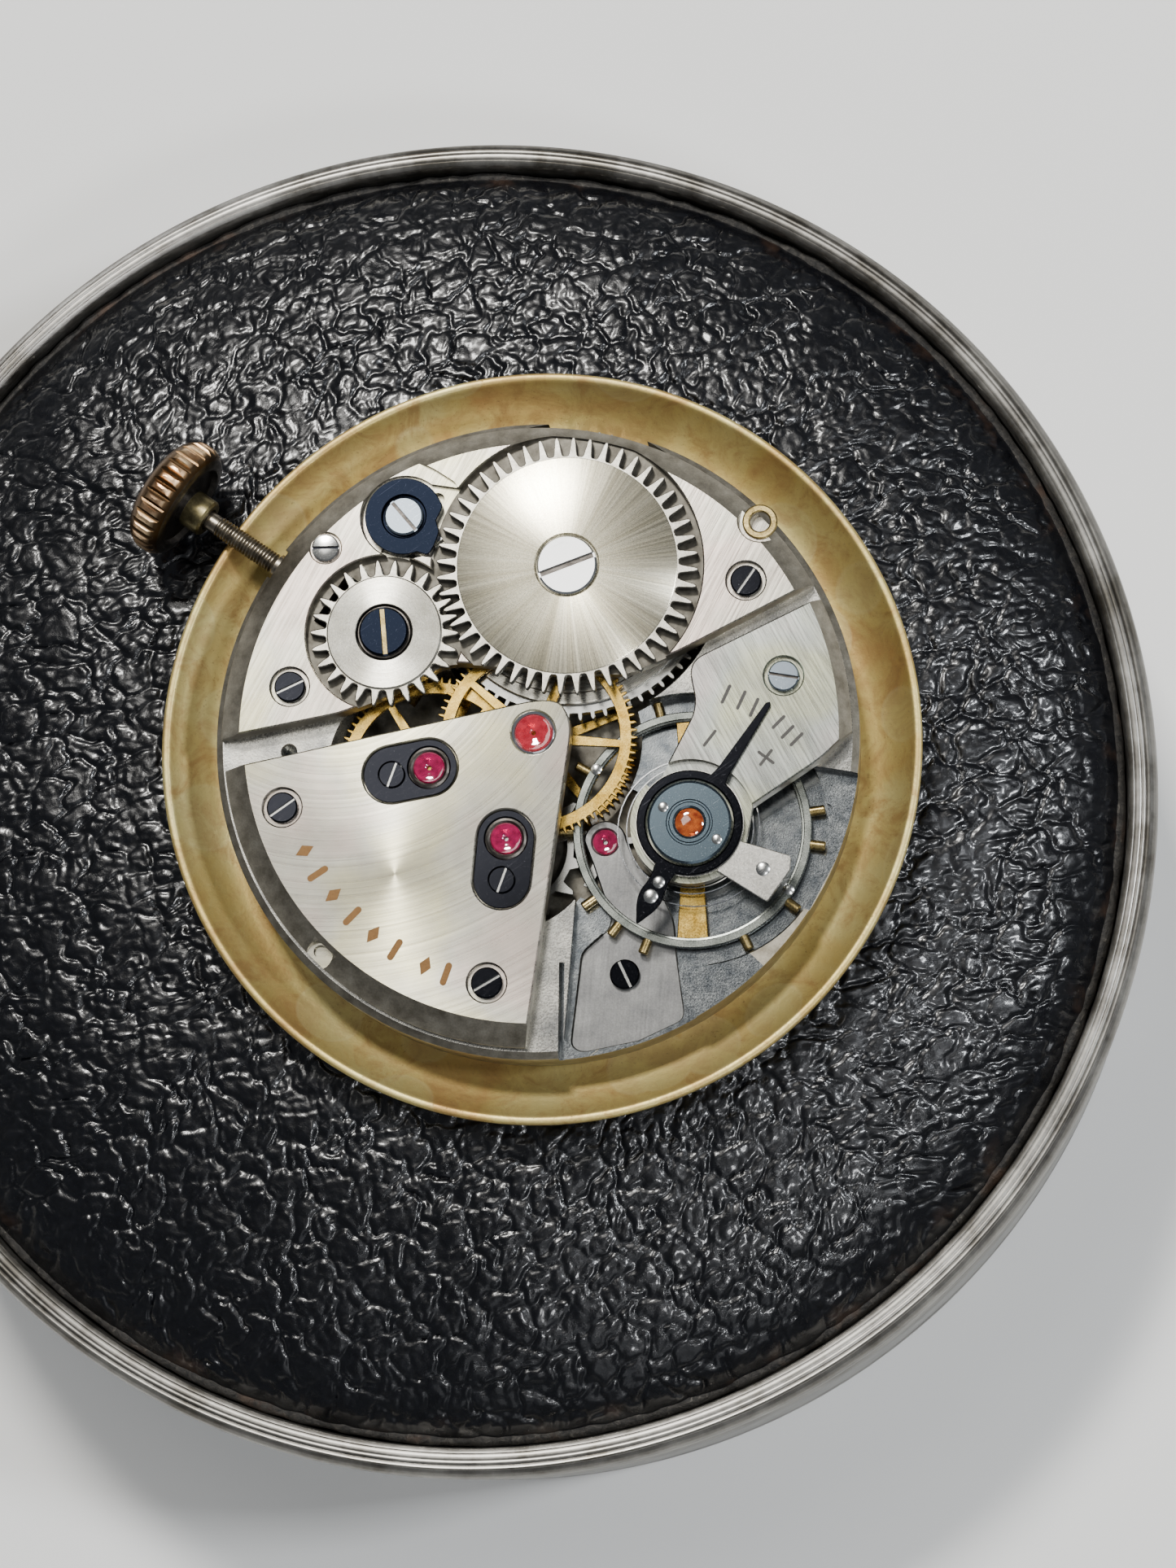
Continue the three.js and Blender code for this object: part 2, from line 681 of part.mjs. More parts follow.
place(movement, "barrel_drum", makeBarrelDrum(), gold);
place(movement, "barrel_cover", makeBarrelCover(), nickel);
place(movement, "mainspring", makeMainspring(), steel);
place(movement, "barrel_arbor", makeBarrelArbor(), steel);
place(movement, "ratchet_wheel", makeRatchetWheel(), nickel);
place(movement, "ratchet_screw", makeScrew(BARREL, 20, 1.19, 3.53, 3.8, 0.3, 3.0), steel);
place(movement, "crown_wheel", makeCrownWheel(), nickel);
place(movement, "crown_wheel_core", cut(disc(CROWN_WHEEL, 1.09, 3.22, 3.66), disc(CROWN_WHEEL, 0.35, 0, ABOVE, 12)), steel);
place(movement, "crown_wheel_screw", makeScrew(CROWN_WHEEL, -85, 0.98, 3.68, 3.9, 0.28, 2.65), blackSteel);
place(movement, "click", makeClick(), blackSteel);
place(movement, "click_screw", makeScrew(CLICK, -50, 0.78, 3.51, 3.74, 0.26, BRIDGE_BOTTOM + 0.05), steel);
place(movement, "click_spring", makeClickSpring(), steel);

// ---- Going train ----

// A wheel, its pinion and its arbor are one piece, riveted together.
function makeTrainWheel(axis, wheel, pinion, arbor) {
  const windows = spokeWindows(axis, 5, 0.95, wheel.root - 0.45, 0.3, wheel.spokes);
  return join(
    prism(fineTeeth(axis, wheel.teeth, wheel.tip, wheel.root, wheel.aim), wheel.bottom, wheel.top, windows),
    prism(fineTeeth(axis, pinion.teeth, pinion.tip, pinion.root, pinion.aim), pinion.bottom, pinion.top),
    lathe(arbor, 12, axis),
  );
}

// The pitch radii of a wheel and of the pinion that it drives
function pitchRadii(wheelAxis, pinionAxis, teeth, leaves) {
  const apart = distance(wheelAxis, pinionAxis);
  return [(apart * teeth) / (teeth + leaves), (apart * leaves) / (teeth + leaves)];
}

const ADDENDUM = 0.08;
const DEDENDUM = 0.15;
const [centrePitch, thirdPinionPitch] = pitchRadii(CENTRE, THIRD, CENTRE_TEETH, THIRD_PINION);
const [thirdPitch, fourthPinionPitch] = pitchRadii(THIRD, CENTRE, THIRD_TEETH, FOURTH_PINION);
const [fourthPitch, escapePinionPitch] = pitchRadii(CENTRE, ESCAPE, FOURTH_TEETH, ESCAPE_PINION);
const centrePinionPitch = distance(CENTRE, BARREL) - BARREL_PITCH;

const rim = (teeth, pitch, aim, spokes, bottom, top) =>
  ({ teeth, tip: pitch + ADDENDUM, root: pitch - DEDENDUM, aim, spokes, bottom, top });
// A pinion's gap faces its wheel's tooth, so its leaves start half a step on.
const leaves = (teeth, pitch, towards, bottom, top) =>
  ({ teeth, tip: pitch + 0.06, root: pitch - 0.14, aim: towards + 180 / teeth, bottom, top });

function makeCentreWheel() {
  const wheel = rim(CENTRE_TEETH, centrePitch, bearing(CENTRE, THIRD), 20, 0.8, 0.95);
  const pinion = leaves(CENTRE_PINION, centrePinionPitch, bearing(CENTRE, BARREL), 1.5, 1.97);
  const arbor = [[0, -1.05], [0.27, -1.05], [0.27, 0.47], [0.4, 0.47], [0.4, 1.97], [0, 1.97]];
  return cut(makeTrainWheel(CENTRE, wheel, pinion, arbor), disc(CENTRE, 0.17, -2, ABOVE, 12));
}

function makeThirdWheel() {
  const wheel = rim(THIRD_TEETH, thirdPitch, bearing(THIRD, CENTRE), 50, 2.02, 2.2);
  const pinion = leaves(THIRD_PINION, thirdPinionPitch, bearing(THIRD, CENTRE), 0.78, 1.05);
  return makeTrainWheel(THIRD, wheel, pinion, [[0, 0.55], [0.13, 0.55], [0.13, 3.25], [0, 3.25]]);
}

function makeFourthWheel() {
  const wheel = rim(FOURTH_TEETH, fourthPitch, bearing(CENTRE, ESCAPE), -5, 2.3, 2.48);
  const pinion = leaves(FOURTH_PINION, fourthPinionPitch, bearing(CENTRE, THIRD), 2.0, 2.35);
  return makeTrainWheel(CENTRE, wheel, pinion, [[0, -1.2], [0.11, -1.2], [0.11, 3.05], [0, 3.05]]);
}

function makeEscapeWheel() {
  const tip = 3.2;
  const teeth = [];
  for (let i = 0; i < ESCAPE_TEETH; i++) {
    const at = 9 + (i * 360) / ESCAPE_TEETH;
    teeth.push(polar(ESCAPE, 2.5, at - 7), polar(ESCAPE, tip, at), polar(ESCAPE, tip - 0.1, at + 4));
    teeth.push(polar(ESCAPE, 2.5, at + 5));
  }
  const windows = spokeWindows(ESCAPE, 4, 0.6, 2.2, 0.28, 10);
  const pinion = leaves(ESCAPE_PINION, escapePinionPitch, bearing(ESCAPE, CENTRE), 2.25, 2.53);
  return join(
    prism(teeth, 1.12, 1.28, windows),
    prism(fineTeeth(ESCAPE, pinion.teeth, pinion.tip, pinion.root, pinion.aim), pinion.bottom, pinion.top),
    lathe([[0, 0.55], [0.12, 0.55], [0.12, 3.25], [0, 3.25]], 12, ESCAPE),
  );
}

place(movement, "centre_wheel", makeCentreWheel(), gold);
place(movement, "third_wheel", makeThirdWheel(), gold);
place(movement, "fourth_wheel", makeFourthWheel(), gold);
place(movement, "escape_wheel", makeEscapeWheel(), steel);

// ---- Escapement and balance ----

const FORK_BOTTOM = 1.12;
const FORK_TOP = 1.28;
const RIM_BOTTOM = 1.76;
const RIM_TOP = 2.14;
const RIM_INSIDE = 4.31;
const RIM_OUTSIDE = 4.72;
const TIMING_SCREWS = 10;
const RIM_SIDES = 36;

function makePalletFork() {
  const lever = bearing(PALLET, BALANCE);
  const forkEnd = polar(PALLET, distance(PALLET, BALANCE) - 0.95, lever);
  const line = bearing(ESCAPE, PALLET);
  const stones = [line + 30, line - 30].map((angle) => polar(ESCAPE, 3.42, angle));
  const arms = stones.map((stone) => bar(PALLET, stone, 0.32, FORK_BOTTOM, FORK_TOP));
  return join(
    disc(PALLET, 0.36, FORK_BOTTOM, FORK_TOP, 14),
    bar(PALLET, forkEnd, 0.24, FORK_BOTTOM, FORK_TOP),
    bar(polar(forkEnd, 0.32, lever + 90), polar(forkEnd, 0.32, lever - 90), 0.2, FORK_BOTTOM, FORK_TOP),
    ...arms,
    lathe([[0, 0.55], [0.1, 0.55], [0.1, 1.42], [0, 1.42]], 10, PALLET),
  );
}

function makeBalanceWheel() {
  const centre = CENTRE;
  const circle = (r) => arc(centre, r, 0, 360 - 360 / RIM_SIDES, RIM_SIDES - 1);
  const ring = prism(circle(RIM_OUTSIDE), RIM_BOTTOM, RIM_TOP, [circle(RIM_INSIDE)]);
  const arms = bar([0, -RIM_INSIDE - 0.15], [0, RIM_INSIDE + 0.15], 0.9, RIM_BOTTOM + 0.05, RIM_TOP - 0.12);
  const screws = [];
  for (let i = 0; i < TIMING_SCREWS; i++) {
    const screw = new THREE.CylinderGeometry(0.2, 0.2, 0.62, 4);
    screw.translate(0, RIM_OUTSIDE + 0.12, (RIM_BOTTOM + RIM_TOP) / 2);
    screws.push(screw.rotateZ(radians(12 + (i * 360) / TIMING_SCREWS)));
  }
  const hub = disc(centre, 0.75, RIM_BOTTOM + 0.05, RIM_TOP - 0.05, 16);
  return cut(join(ring, arms, hub, ...screws), disc(centre, 0.3, 0, ABOVE, 14)).translate(...BALANCE, 0);
}

function makeBalanceStaff() {
  const roller = polar(BALANCE, 0.5, bearing(BALANCE, PALLET));
  return join(
    lathe(
      [
        [0, 0.6],
        [0.09, 0.6],
        [0.2, 0.95],
        [0.2, 1.32],
        [0.8, 1.32],
        [0.8, 1.46],
        [0.26, 1.46],
        [0.26, 2.28],
        [0.5, 2.28],
        [0.5, 2.44],
        [0.2, 2.44],
        [0.09, 2.75],
        [0.09, 3.35],
        [0, 3.35],
      ],
      16,
      BALANCE,
    ),
    disc(roller, 0.09, 1.14, 1.4, 8),
  );
}

const STUD = [9.0, -5.55];

function makeHairspring() {
  const stud = bearing(BALANCE, STUD);
  const coil = spiralStrip(BALANCE, 0.6, 2.75, 5, 0.07, stud - 40 + 180, 11);
  const [endX, endY] = polar(BALANCE, 2.75, stud - 40 + 180);
  const lift = rounded([[endX, endY], polar(BALANCE, 3.0, stud + 100), polar(BALANCE, 3.05, stud + 55)]);
  const out = [...lift, polar(BALANCE, 3.2, stud + 25), polar(BALANCE, 3.3, stud + 6)];
  const tail = out.slice(1).map((point, i) => bar(out[i], point, 0.07, 2.3, 2.42));
  return join(prism(coil, 2.3, 2.42), ...tail);
}

const REGULATOR_BOTTOM = 3.62;
const REGULATOR_TOP = 3.77;

function makeRegulator() {
  const pointerTip = [9.25, 0.93];
  const pointer = bearing(BALANCE, pointerTip);
  const tailTip = [4.05, -7.7];
  const tail = bearing(BALANCE, tailTip);
  const blade = [
    polar(BALANCE, 1.9, pointer - 9),
    polar(pointerTip, 0.1, pointer - 90),
    polar(pointerTip, 0.1, pointer + 90),
    polar(BALANCE, 1.9, pointer + 9),
  ];
  const paddle = [
    polar(BALANCE, 1.9, tail + 14),
    polar(BALANCE, 3.4, tail + 8),
    tailTip,
    polar(BALANCE, 3.4, tail - 8),
    polar(BALANCE, 1.9, tail - 14),
  ];
  const ring = disc(BALANCE, 2.08, REGULATOR_BOTTOM, REGULATOR_TOP, 24);
  return cut(
    join(ring, prism(blade, REGULATOR_BOTTOM, REGULATOR_TOP), prism(paddle, REGULATOR_BOTTOM, REGULATOR_TOP)),
    disc(BALANCE, 1.72, 0, ABOVE, 24),
  );
}

function makeStudCarrier() {
  const plate = rounded([
    [7.9, -4.4],
    [8.5, -4.55, 0.1],
    [10.1, -5.05, 0.15],
    [10.05, -5.6],
    [9.15, -6.85, 0.15],
    [7.2, -5.6],
  ]);
  return cut(
    join(
      disc(BALANCE, 2.1, CARRIER_BOTTOM, REGULATOR_BOTTOM - 0.03, 20),
      prism(plate, CARRIER_BOTTOM, REGULATOR_BOTTOM - 0.03),
      disc(STUD, 0.24, 2.25, CARRIER_BOTTOM + 0.1, 12),
    ),
    disc(BALANCE, 1.72, 0, ABOVE, 20),
  );
}

function makeShockSetting() {
  const body = lathe(
    [[0, 2.7], [1.22, 2.7], [1.22, 3.33], [1.64, 3.4], [1.64, 3.85], [0, 3.85]],
    20,
    BALANCE,
  );
  return cut(body, disc(BALANCE, 0.58, 3.45, ABOVE, 12), disc(BALANCE, 0.16, 0, ABOVE, 8));
}

place(movement, "pallet_fork", makePalletFork(), steel);
place(movement, "balance_wheel", makeBalanceWheel(), gold);
place(movement, "balance_staff", makeBalanceStaff(), steel);
place(movement, "hairspring", makeHairspring(), blackSteel);
place(movement, "regulator", makeRegulator(), blackSteel);
place(movement, "stud_carrier", makeStudCarrier(), steel);
place(movement, "shock_setting", makeShockSetting(), steel);
place(movement, "balance_endstone", makeJewel(BALANCE, 0.55, 3.48, 3.82), amber);

// ---- Winding and setting ----

const GROOVE_AT = 11.18;
const CLUTCH_AT = 7.2;

// These are turned about the stem's line: profile heights are distances from the movement's centre.
function makeWindingStem() {
  return lathe(
    [
      [0, 5.3],
      [0.25, 5.3],
      [0.25, 6.0],
      [0.38, 6.0],
      [0.38, 8.2],
      [0.5, 8.2],
      [0.5, GROOVE_AT - 0.4],
      [0.3, GROOVE_AT - 0.4],
      [0.3, GROOVE_AT + 0.4],
      [0.5, GROOVE_AT + 0.4],
      [0.5, 12.9],
      [0.42, 12.9],
      [0.42, 17.8],
      [0, 17.8],
    ],
    10,
  );
}

function makeCrown() {
  const flutes = fineTeeth(CENTRE, CROWN_FLUTES, 2.5, 2.38, 0);
  const boss = lathe([[0, 16.3], [0.78, 16.3], [0.78, 17.4], [0, 17.4]], 14);
  const cap = lathe([[0, 18.7], [2.1, 18.7], [0, 19.0]], 20);
  return cut(join(boss, prism(flutes, 17.25, 18.75), cap), disc(CENTRE, 0.47, 16, 17.9, 10));
}

function makeWindingPinion() {
  return cut(prism(bluntTeeth(CENTRE, 13, 1.33, 0.95, 0), 8.4, 9.7), disc(CENTRE, 0.56, 0, 12, 16));
}

function makeClutchWheel() {
  const body = lathe(
    [
      [0.42, CLUTCH_AT - 0.9],
      [0.76, CLUTCH_AT - 0.9],
      [0.76, CLUTCH_AT - 0.35],
      [0.55, CLUTCH_AT - 0.35],
      [0.55, CLUTCH_AT + 0.35],
      [0.76, CLUTCH_AT + 0.35],
      [0.76, CLUTCH_AT + 0.9],
      [0.42, CLUTCH_AT + 0.9],
    ],
    12,
  );
  return body;
}

const KEYLESS_BOTTOM = 0.06;
const KEYLESS_TOP = 0.38;

function makeSettingLever() {
  const pin = onStem(GROOVE_AT);
  return join(
    disc(LEVER_SCREW, 0.6, KEYLESS_BOTTOM, KEYLESS_TOP, 16),
    bar(LEVER_SCREW, pin, 0.7, KEYLESS_BOTTOM, KEYLESS_TOP),
    disc(pin, 0.35, KEYLESS_BOTTOM, KEYLESS_TOP, 14),
    disc(pin, 0.16, KEYLESS_BOTTOM, 1.44, 10),
  );
}

function makeYoke() {
  const nose = onStem(CLUTCH_AT);
  return join(
    disc(YOKE_PIVOT, 0.6, KEYLESS_BOTTOM, KEYLESS_TOP, 16),
    bar(YOKE_PIVOT, nose, 0.6, KEYLESS_BOTTOM, KEYLESS_TOP),
    disc(nose, 0.3, KEYLESS_BOTTOM, KEYLESS_TOP, 14),
    disc(nose, 0.15, KEYLESS_BOTTOM, 1.18, 8),
  );
}

function makeCannonPinion() {
  const pitch = pitchRadii(MINUTE, CENTRE, MINUTE_TEETH, CANNON_LEAVES)[1];
  const aim = bearing(CENTRE, MINUTE) + 180 / CANNON_LEAVES;
  return cut(
    join(prism(fineTeeth(CENTRE, CANNON_LEAVES, pitch + 0.06, pitch - 0.15, aim), 0.24, 0.45), disc(CENTRE, 0.5, -0.95, 0.45)),
    disc(CENTRE, 0.31, -2, ABOVE, 14),
  );
}

function makeMinuteWheel() {
  const pitch = pitchRadii(MINUTE, CENTRE, MINUTE_TEETH, CANNON_LEAVES)[0];
  const pinionPitch = pitchRadii(CENTRE, MINUTE, HOUR_TEETH, MINUTE_PINION)[1];
  const towards = bearing(MINUTE, CENTRE);
  return join(
    prism(fineTeeth(MINUTE, MINUTE_TEETH, pitch + 0.1, pitch - 0.15, towards), 0.27, 0.42),
    prism(fineTeeth(MINUTE, MINUTE_PINION, pinionPitch + 0.06, pinionPitch - 0.15, towards + 180 / MINUTE_PINION), 0.06, 0.3),
  );
}

function makeHourWheel() {
  const pitch = pitchRadii(CENTRE, MINUTE, HOUR_TEETH, MINUTE_PINION)[0];
  return cut(
    join(prism(fineTeeth(CENTRE, HOUR_TEETH, pitch + 0.08, pitch - 0.15, bearing(CENTRE, MINUTE)), 0.06, 0.2), disc(CENTRE, 0.85, -0.75, 0.2)),
    disc(CENTRE, 0.6, -2, ABOVE, 16),
  );
}

place(stemLine, "winding_stem", makeWindingStem(), steel);
place(stemLine, "crown", makeCrown(), gold);
place(stemLine, "winding_pinion", makeWindingPinion(), steel);
place(stemLine, "clutch_wheel", makeClutchWheel(), steel);
place(movement, "setting_lever", makeSettingLever(), steel);
place(movement, "yoke", makeYoke(), steel);
place(movement, "cannon_pinion", makeCannonPinion(), steel);
place(movement, "minute_wheel", makeMinuteWheel(), brass);
place(movement, "hour_wheel", makeHourWheel(), brass);

export default holder;
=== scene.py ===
import math

import bpy
import numpy as np
from mathutils import Matrix, Vector
from mathutils.geometry import tessellate_polygon


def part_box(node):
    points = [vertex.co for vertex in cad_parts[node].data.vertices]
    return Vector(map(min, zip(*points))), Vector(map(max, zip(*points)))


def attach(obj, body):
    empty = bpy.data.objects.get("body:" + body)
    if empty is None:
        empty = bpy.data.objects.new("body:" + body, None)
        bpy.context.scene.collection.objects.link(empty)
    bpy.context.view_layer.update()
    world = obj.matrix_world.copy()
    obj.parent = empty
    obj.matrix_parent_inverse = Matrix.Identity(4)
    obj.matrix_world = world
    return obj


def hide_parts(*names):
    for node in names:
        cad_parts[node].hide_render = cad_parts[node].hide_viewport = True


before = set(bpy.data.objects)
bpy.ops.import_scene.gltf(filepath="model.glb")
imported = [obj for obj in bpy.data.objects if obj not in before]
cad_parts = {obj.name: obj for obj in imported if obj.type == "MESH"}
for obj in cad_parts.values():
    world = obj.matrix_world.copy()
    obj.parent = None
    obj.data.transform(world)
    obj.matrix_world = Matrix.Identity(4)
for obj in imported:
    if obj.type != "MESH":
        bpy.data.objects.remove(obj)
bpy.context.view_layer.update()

# Lengths are in millimetres until a mesh, light or camera is made.
MM = 0.001


def box_mm(node):
    low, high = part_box(node)
    return [c / MM for c in low], [c / MM for c in high]


# The movement's frame: its centre, and z = 0 on the dial's back, as in the CAD
plate_low, plate_high = box_mm("main_plate")
MOVEMENT = Vector(((plate_low[0] + plate_high[0]) / 2, (plate_low[1] + plate_high[1]) / 2, plate_low[2]))
STEM_LEVEL = 1.8
STEM_ANGLE = 145.2

CENTRE = (0.0, 0.0)
BARREL = (1.33, 6.7)
CROWN_WHEEL = (-5.94, 4.12)
CLICK = (-5.19, 8.83)
THIRD = (-4.13, -1.33)
ESCAPE = (-1.07, -4.2)
PALLET = (2.68, -4.1)
BALANCE = (6.15, -3.71)
STUD = (9.0, -5.55)
EYELET = (8.97, 8.37)
PALLET_SCREW = (3.46, -9.4)
LEVER_SCREW = (-8.33, 7.6)
BRIDGE_SCREWS = {  # place, and the angle of the slot
    "barrel_bridge_screw_left": ((-9.7, 2.0), 25),
    "barrel_bridge_screw_right": ((8.41, 5.95), 55),
    "train_bridge_screw_upper": ((-9.94, -2.85), 35),
    "train_bridge_screw_lower": ((-1.8, -9.9), 30),
    "balance_cock_screw": ((9.86, 2.1), -10),
}
CAPS = {"third": (THIRD, (-5.6, -1.6)), "escape": (ESCAPE, (-1.23, -5.85))}  # jewel, and screw

PLATE_RADIUS = 12.8
WEB_BOTTOM = 0.5
WEB_TOP = 0.75
FORK_FLOOR = 0.95
PALLET_BRIDGE_BOTTOM = 1.38
BALANCE_FLOOR = 1.5
PALLET_BRIDGE_TOP = 1.66
OPEN_PLATE_TOP = 2.2
BRIDGE_BOTTOM = 2.6
RECESS_FLOOR = 3.2
# CLICK_FLOOR stands just above RECESS_FLOOR so that the painted shade on the recess floors stays under the
# wheels
CLICK_FLOOR = 3.22
WINDING_BOTTOM = 3.25
CAP_FLOOR = 3.3
CARRIER_BOTTOM = 3.35
HEAD_FLOOR = 3.4
BRIDGE_TOP = 3.6
REGULATOR_BOTTOM = 3.62
WINDING_TOP = 3.7
REGULATOR_TOP = 3.77
SHOCK_TOP = 3.85
ABOVE = BRIDGE_TOP + 1
EDGE = 0.055
SCREW_BORE = 0.35
CAP_RADIUS = 1.12
COCK_END = 2.35
SCALE_OPENING = 1.72


# ---- Outlines ----

def polar(centre, r, angle):
    return (centre[0] + r * math.cos(math.radians(angle)), centre[1] + r * math.sin(math.radians(angle)))


def bearing(start, end):
    return math.degrees(math.atan2(end[1] - start[1], end[0] - start[0]))


def arc(centre, r, start, end, steps):
    return [polar(centre, r, start + (end - start) * i / steps) for i in range(steps + 1)]


def rounded(corners, steps=8):
    """Corners are (x, y) or (x, y, rounding), as in the CAD."""
    outline = []
    for i, corner in enumerate(corners):
        if len(corner) == 2:
            outline.append(tuple(corner))
            continue
        x, y, rounding = corner
        ends = []
        for other in (corners[i - 1], corners[(i + 1) % len(corners)]):
            share = min(rounding / math.dist((x, y), other[:2]), 0.45)
            ends.append((x + (other[0] - x) * share, y + (other[1] - y) * share))
        points = (ends[0], (x, y), ends[1])
        for k in range(steps + 1):
            t = k / steps
            weights = ((1 - t) ** 2, 2 * t * (1 - t), t ** 2)
            outline.append(tuple(sum(w * p[axis] for w, p in zip(weights, points)) for axis in (0, 1)))
    return outline


def stadium(start, end, r, steps=20):
    angle = bearing(start, end)
    return arc(end, r, angle - 90, angle + 90, steps) + arc(start, r, angle + 90, angle + 270, steps)


def bar_outline(start, end, width):
    angle = bearing(start, end)
    corners = ((start, -90), (end, -90), (end, 90), (start, 90))
    return [polar(at, width / 2, angle + side) for at, side in corners]


def bar_through(middle, reach, angle, width):
    return bar_outline(polar(middle, reach, angle + 180), polar(middle, reach, angle), width)


def on_stem(s):
    return polar(CENTRE, s, STEM_ANGLE)


def mirrored(flank):
    return flank + [(-share, r) for share, r in reversed(flank)]


def teeth(centre, count, aim, section):
    """section lists (share of the pitch from the tooth's middle, radius) across one tooth."""
    pitch = 360 / count
    return [polar(centre, r, aim + (i + share) * pitch) for i in range(count) for share, r in section]


def train_teeth(centre, count, tip, root, aim):
    flank = [(-0.42, root), (-0.2, root + 0.01), (-0.17, tip - 0.09), (-0.07, tip)]
    return teeth(centre, count, aim, mirrored(flank))


def winding_teeth(centre, count, tip, root, aim):
    """Long slender teeth whose flanks hollow out towards a round root"""
    flank = [(-0.38, root), (-0.29, root + 0.05), (-0.21, root + 0.3), (-0.13, tip - 0.12), (-0.06, tip)]
    return teeth(centre, count, aim, [(-0.5, root)] + mirrored(flank))


def spoke_windows(centre, spokes, inner, outer, width, aim):
    windows = []
    far = math.degrees(math.asin(width / 2 / outer))
    near = math.degrees(math.asin(width * 0.75 / inner))
    for i in range(spokes):
        start = aim + i * 360 / spokes
        end = start + 360 / spokes
        outside = arc(centre, outer, start + far, end - far, 14)
        windows.append(outside + arc(centre, inner, end - near, start + near, 6))
    return windows


# ---- Solids: (points, faces) ----

def area(loop):
    return sum(a[0] * b[1] - b[0] * a[1] for a, b in zip(loop, loop[1:] + loop[:1])) / 2


def wound(loop, left):
    """The loop with its material on the left"""
    return list(loop) if (area(list(loop)) > 0) == left else list(reversed(loop))


def inset(loop, amount):
    points = np.array(loop)
    before = points - np.roll(points, 1, axis=0)
    after = np.roll(points, -1, axis=0) - points
    normals = []
    for step in (before, after):
        length = np.maximum(np.linalg.norm(step, axis=1, keepdims=True), 1e-9)
        normals.append(np.stack([-step[:, 1], step[:, 0]], axis=1) / length)
    turn = np.maximum(1 + (normals[0] * normals[1]).sum(axis=1, keepdims=True), 0.5)
    return [tuple(p) for p in points + (normals[0] + normals[1]) * amount / turn]


def cap(loops, points, index, up):
    """Triangles over loops, which index lists point by point"""
    flat = [i for loop in index for i in loop]
    faces = []
    for a, b, c in tessellate_polygon([[Vector((x, y, 0)) for x, y in loop] for loop in loops]):
        face = (flat[a], flat[b], flat[c])
        faces.append(face if (area([points[k][:2] for k in face]) > 0) == up else face[::-1])
    return faces


def band(low, high, count):
    """Quads between two rings of points that start at low and high"""
    return [(low + i, low + (i + 1) % count, high + (i + 1) % count, high + i) for i in range(count)]


def prism(outline, bottom, top, holes=(), bevel=0.0):
    """An extrusion whose top edges are bevelled"""
    loops = [wound(outline, True)] + [wound(hole, False) for hole in holes]
    levels = [(bottom, 0.0), (top - bevel, 0.0), (top, bevel)] if bevel else [(bottom, 0.0), (top, 0.0)]
    points, faces = [], []
    ends = {0: ([], []), len(levels) - 1: ([], [])}
    for loop in loops:
        starts = []
        for rank, (z, amount) in enumerate(levels):
            starts.append(len(points))
            placed = inset(loop, amount) if amount else loop
            points += [(x, y, z) for x, y in placed]
            if rank in ends:
                ends[rank][0].append(placed)
                ends[rank][1].append(list(range(starts[-1], len(points))))
        for low, high in zip(starts, starts[1:]):
            faces += band(low, high, len(loop))
    for rank, (placed, index) in ends.items():
        faces += cap(placed, points, index, up=rank > 0)
    return points, faces


def outward(points, faces):
    volume = 0.0
    for face in faces:
        a = Vector(points[face[0]])
        for k in range(1, len(face) - 1):
            volume += a.dot(Vector(points[face[k]]).cross(Vector(points[face[k + 1]])))
    return (points, faces) if volume > 0 else (points, [face[::-1] for face in faces])


def lathe(profile, segments=64, centre=CENTRE):
    """A closed section of (radius, z) points, turned about an upright axis"""
    points, faces, rings = [], [], []
    for r, z in profile:
        if r == 0:
            rings.append([len(points)] * segments)
            points.append((*centre, z))
            continue
        rings.append(list(range(len(points), len(points) + segments)))
        points += [(*polar(centre, r, 360 * i / segments), z) for i in range(segments)]
    for first, second in zip(rings, rings[1:] + rings[:1]):
        if first[0] == first[1] and second[0] == second[1]:
            continue
        for i in range(segments):
            j = (i + 1) % segments
            faces.append(tuple(dict.fromkeys([first[i], first[j], second[j], second[i]])))
    return outward(points, faces)


def disc(centre, r, bottom, top, segments=48):
    return lathe([(0, bottom), (r, bottom), (r, top), (0, top)], segments, centre)


def bore(centre, r, floor, rim, segments=48, flare=EDGE):
    """A cutter whose mouth flares at the height rim, so that it leaves a bevelled edge"""
    high = rim + flare * 2
    profile = [(0, floor), (r, floor), (r, rim - flare), (r + flare * 3, high), (0, high)]
    return lathe(profile, segments, centre)


def slot_cutter(outline, floor, rim):
    """A cutter of any outline, with a flared mouth"""
    middle = wound(outline, True)
    wide = inset(middle, -EDGE * 3)
    count = len(outline)
    points = [(x, y, z) for z in (floor, rim - EDGE) for x, y in middle]
    points += [(x, y, rim + EDGE * 2) for x, y in wide]
    faces = band(0, count, count) + band(count, 2 * count, count)
    faces += cap([middle], points, [list(range(count))], up=False)
    faces += cap([wide], points, [list(range(2 * count, 3 * count))], up=True)
    return points, faces


def merged(*solids):
    """Closed pieces listed as one; they may touch, but aren't joined"""
    points, faces = [], []
    for more_points, more_faces in solids:
        shift = len(points)
        points += more_points
        faces += [tuple(i + shift for i in face) for face in more_faces]
    return points, faces


def raw_object(solid):
    mesh = bpy.data.meshes.new("tool")
    mesh.from_pydata(solid[0], [], solid[1])
    obj = bpy.data.objects.new("tool", mesh)
    bpy.context.collection.objects.link(obj)
    return obj


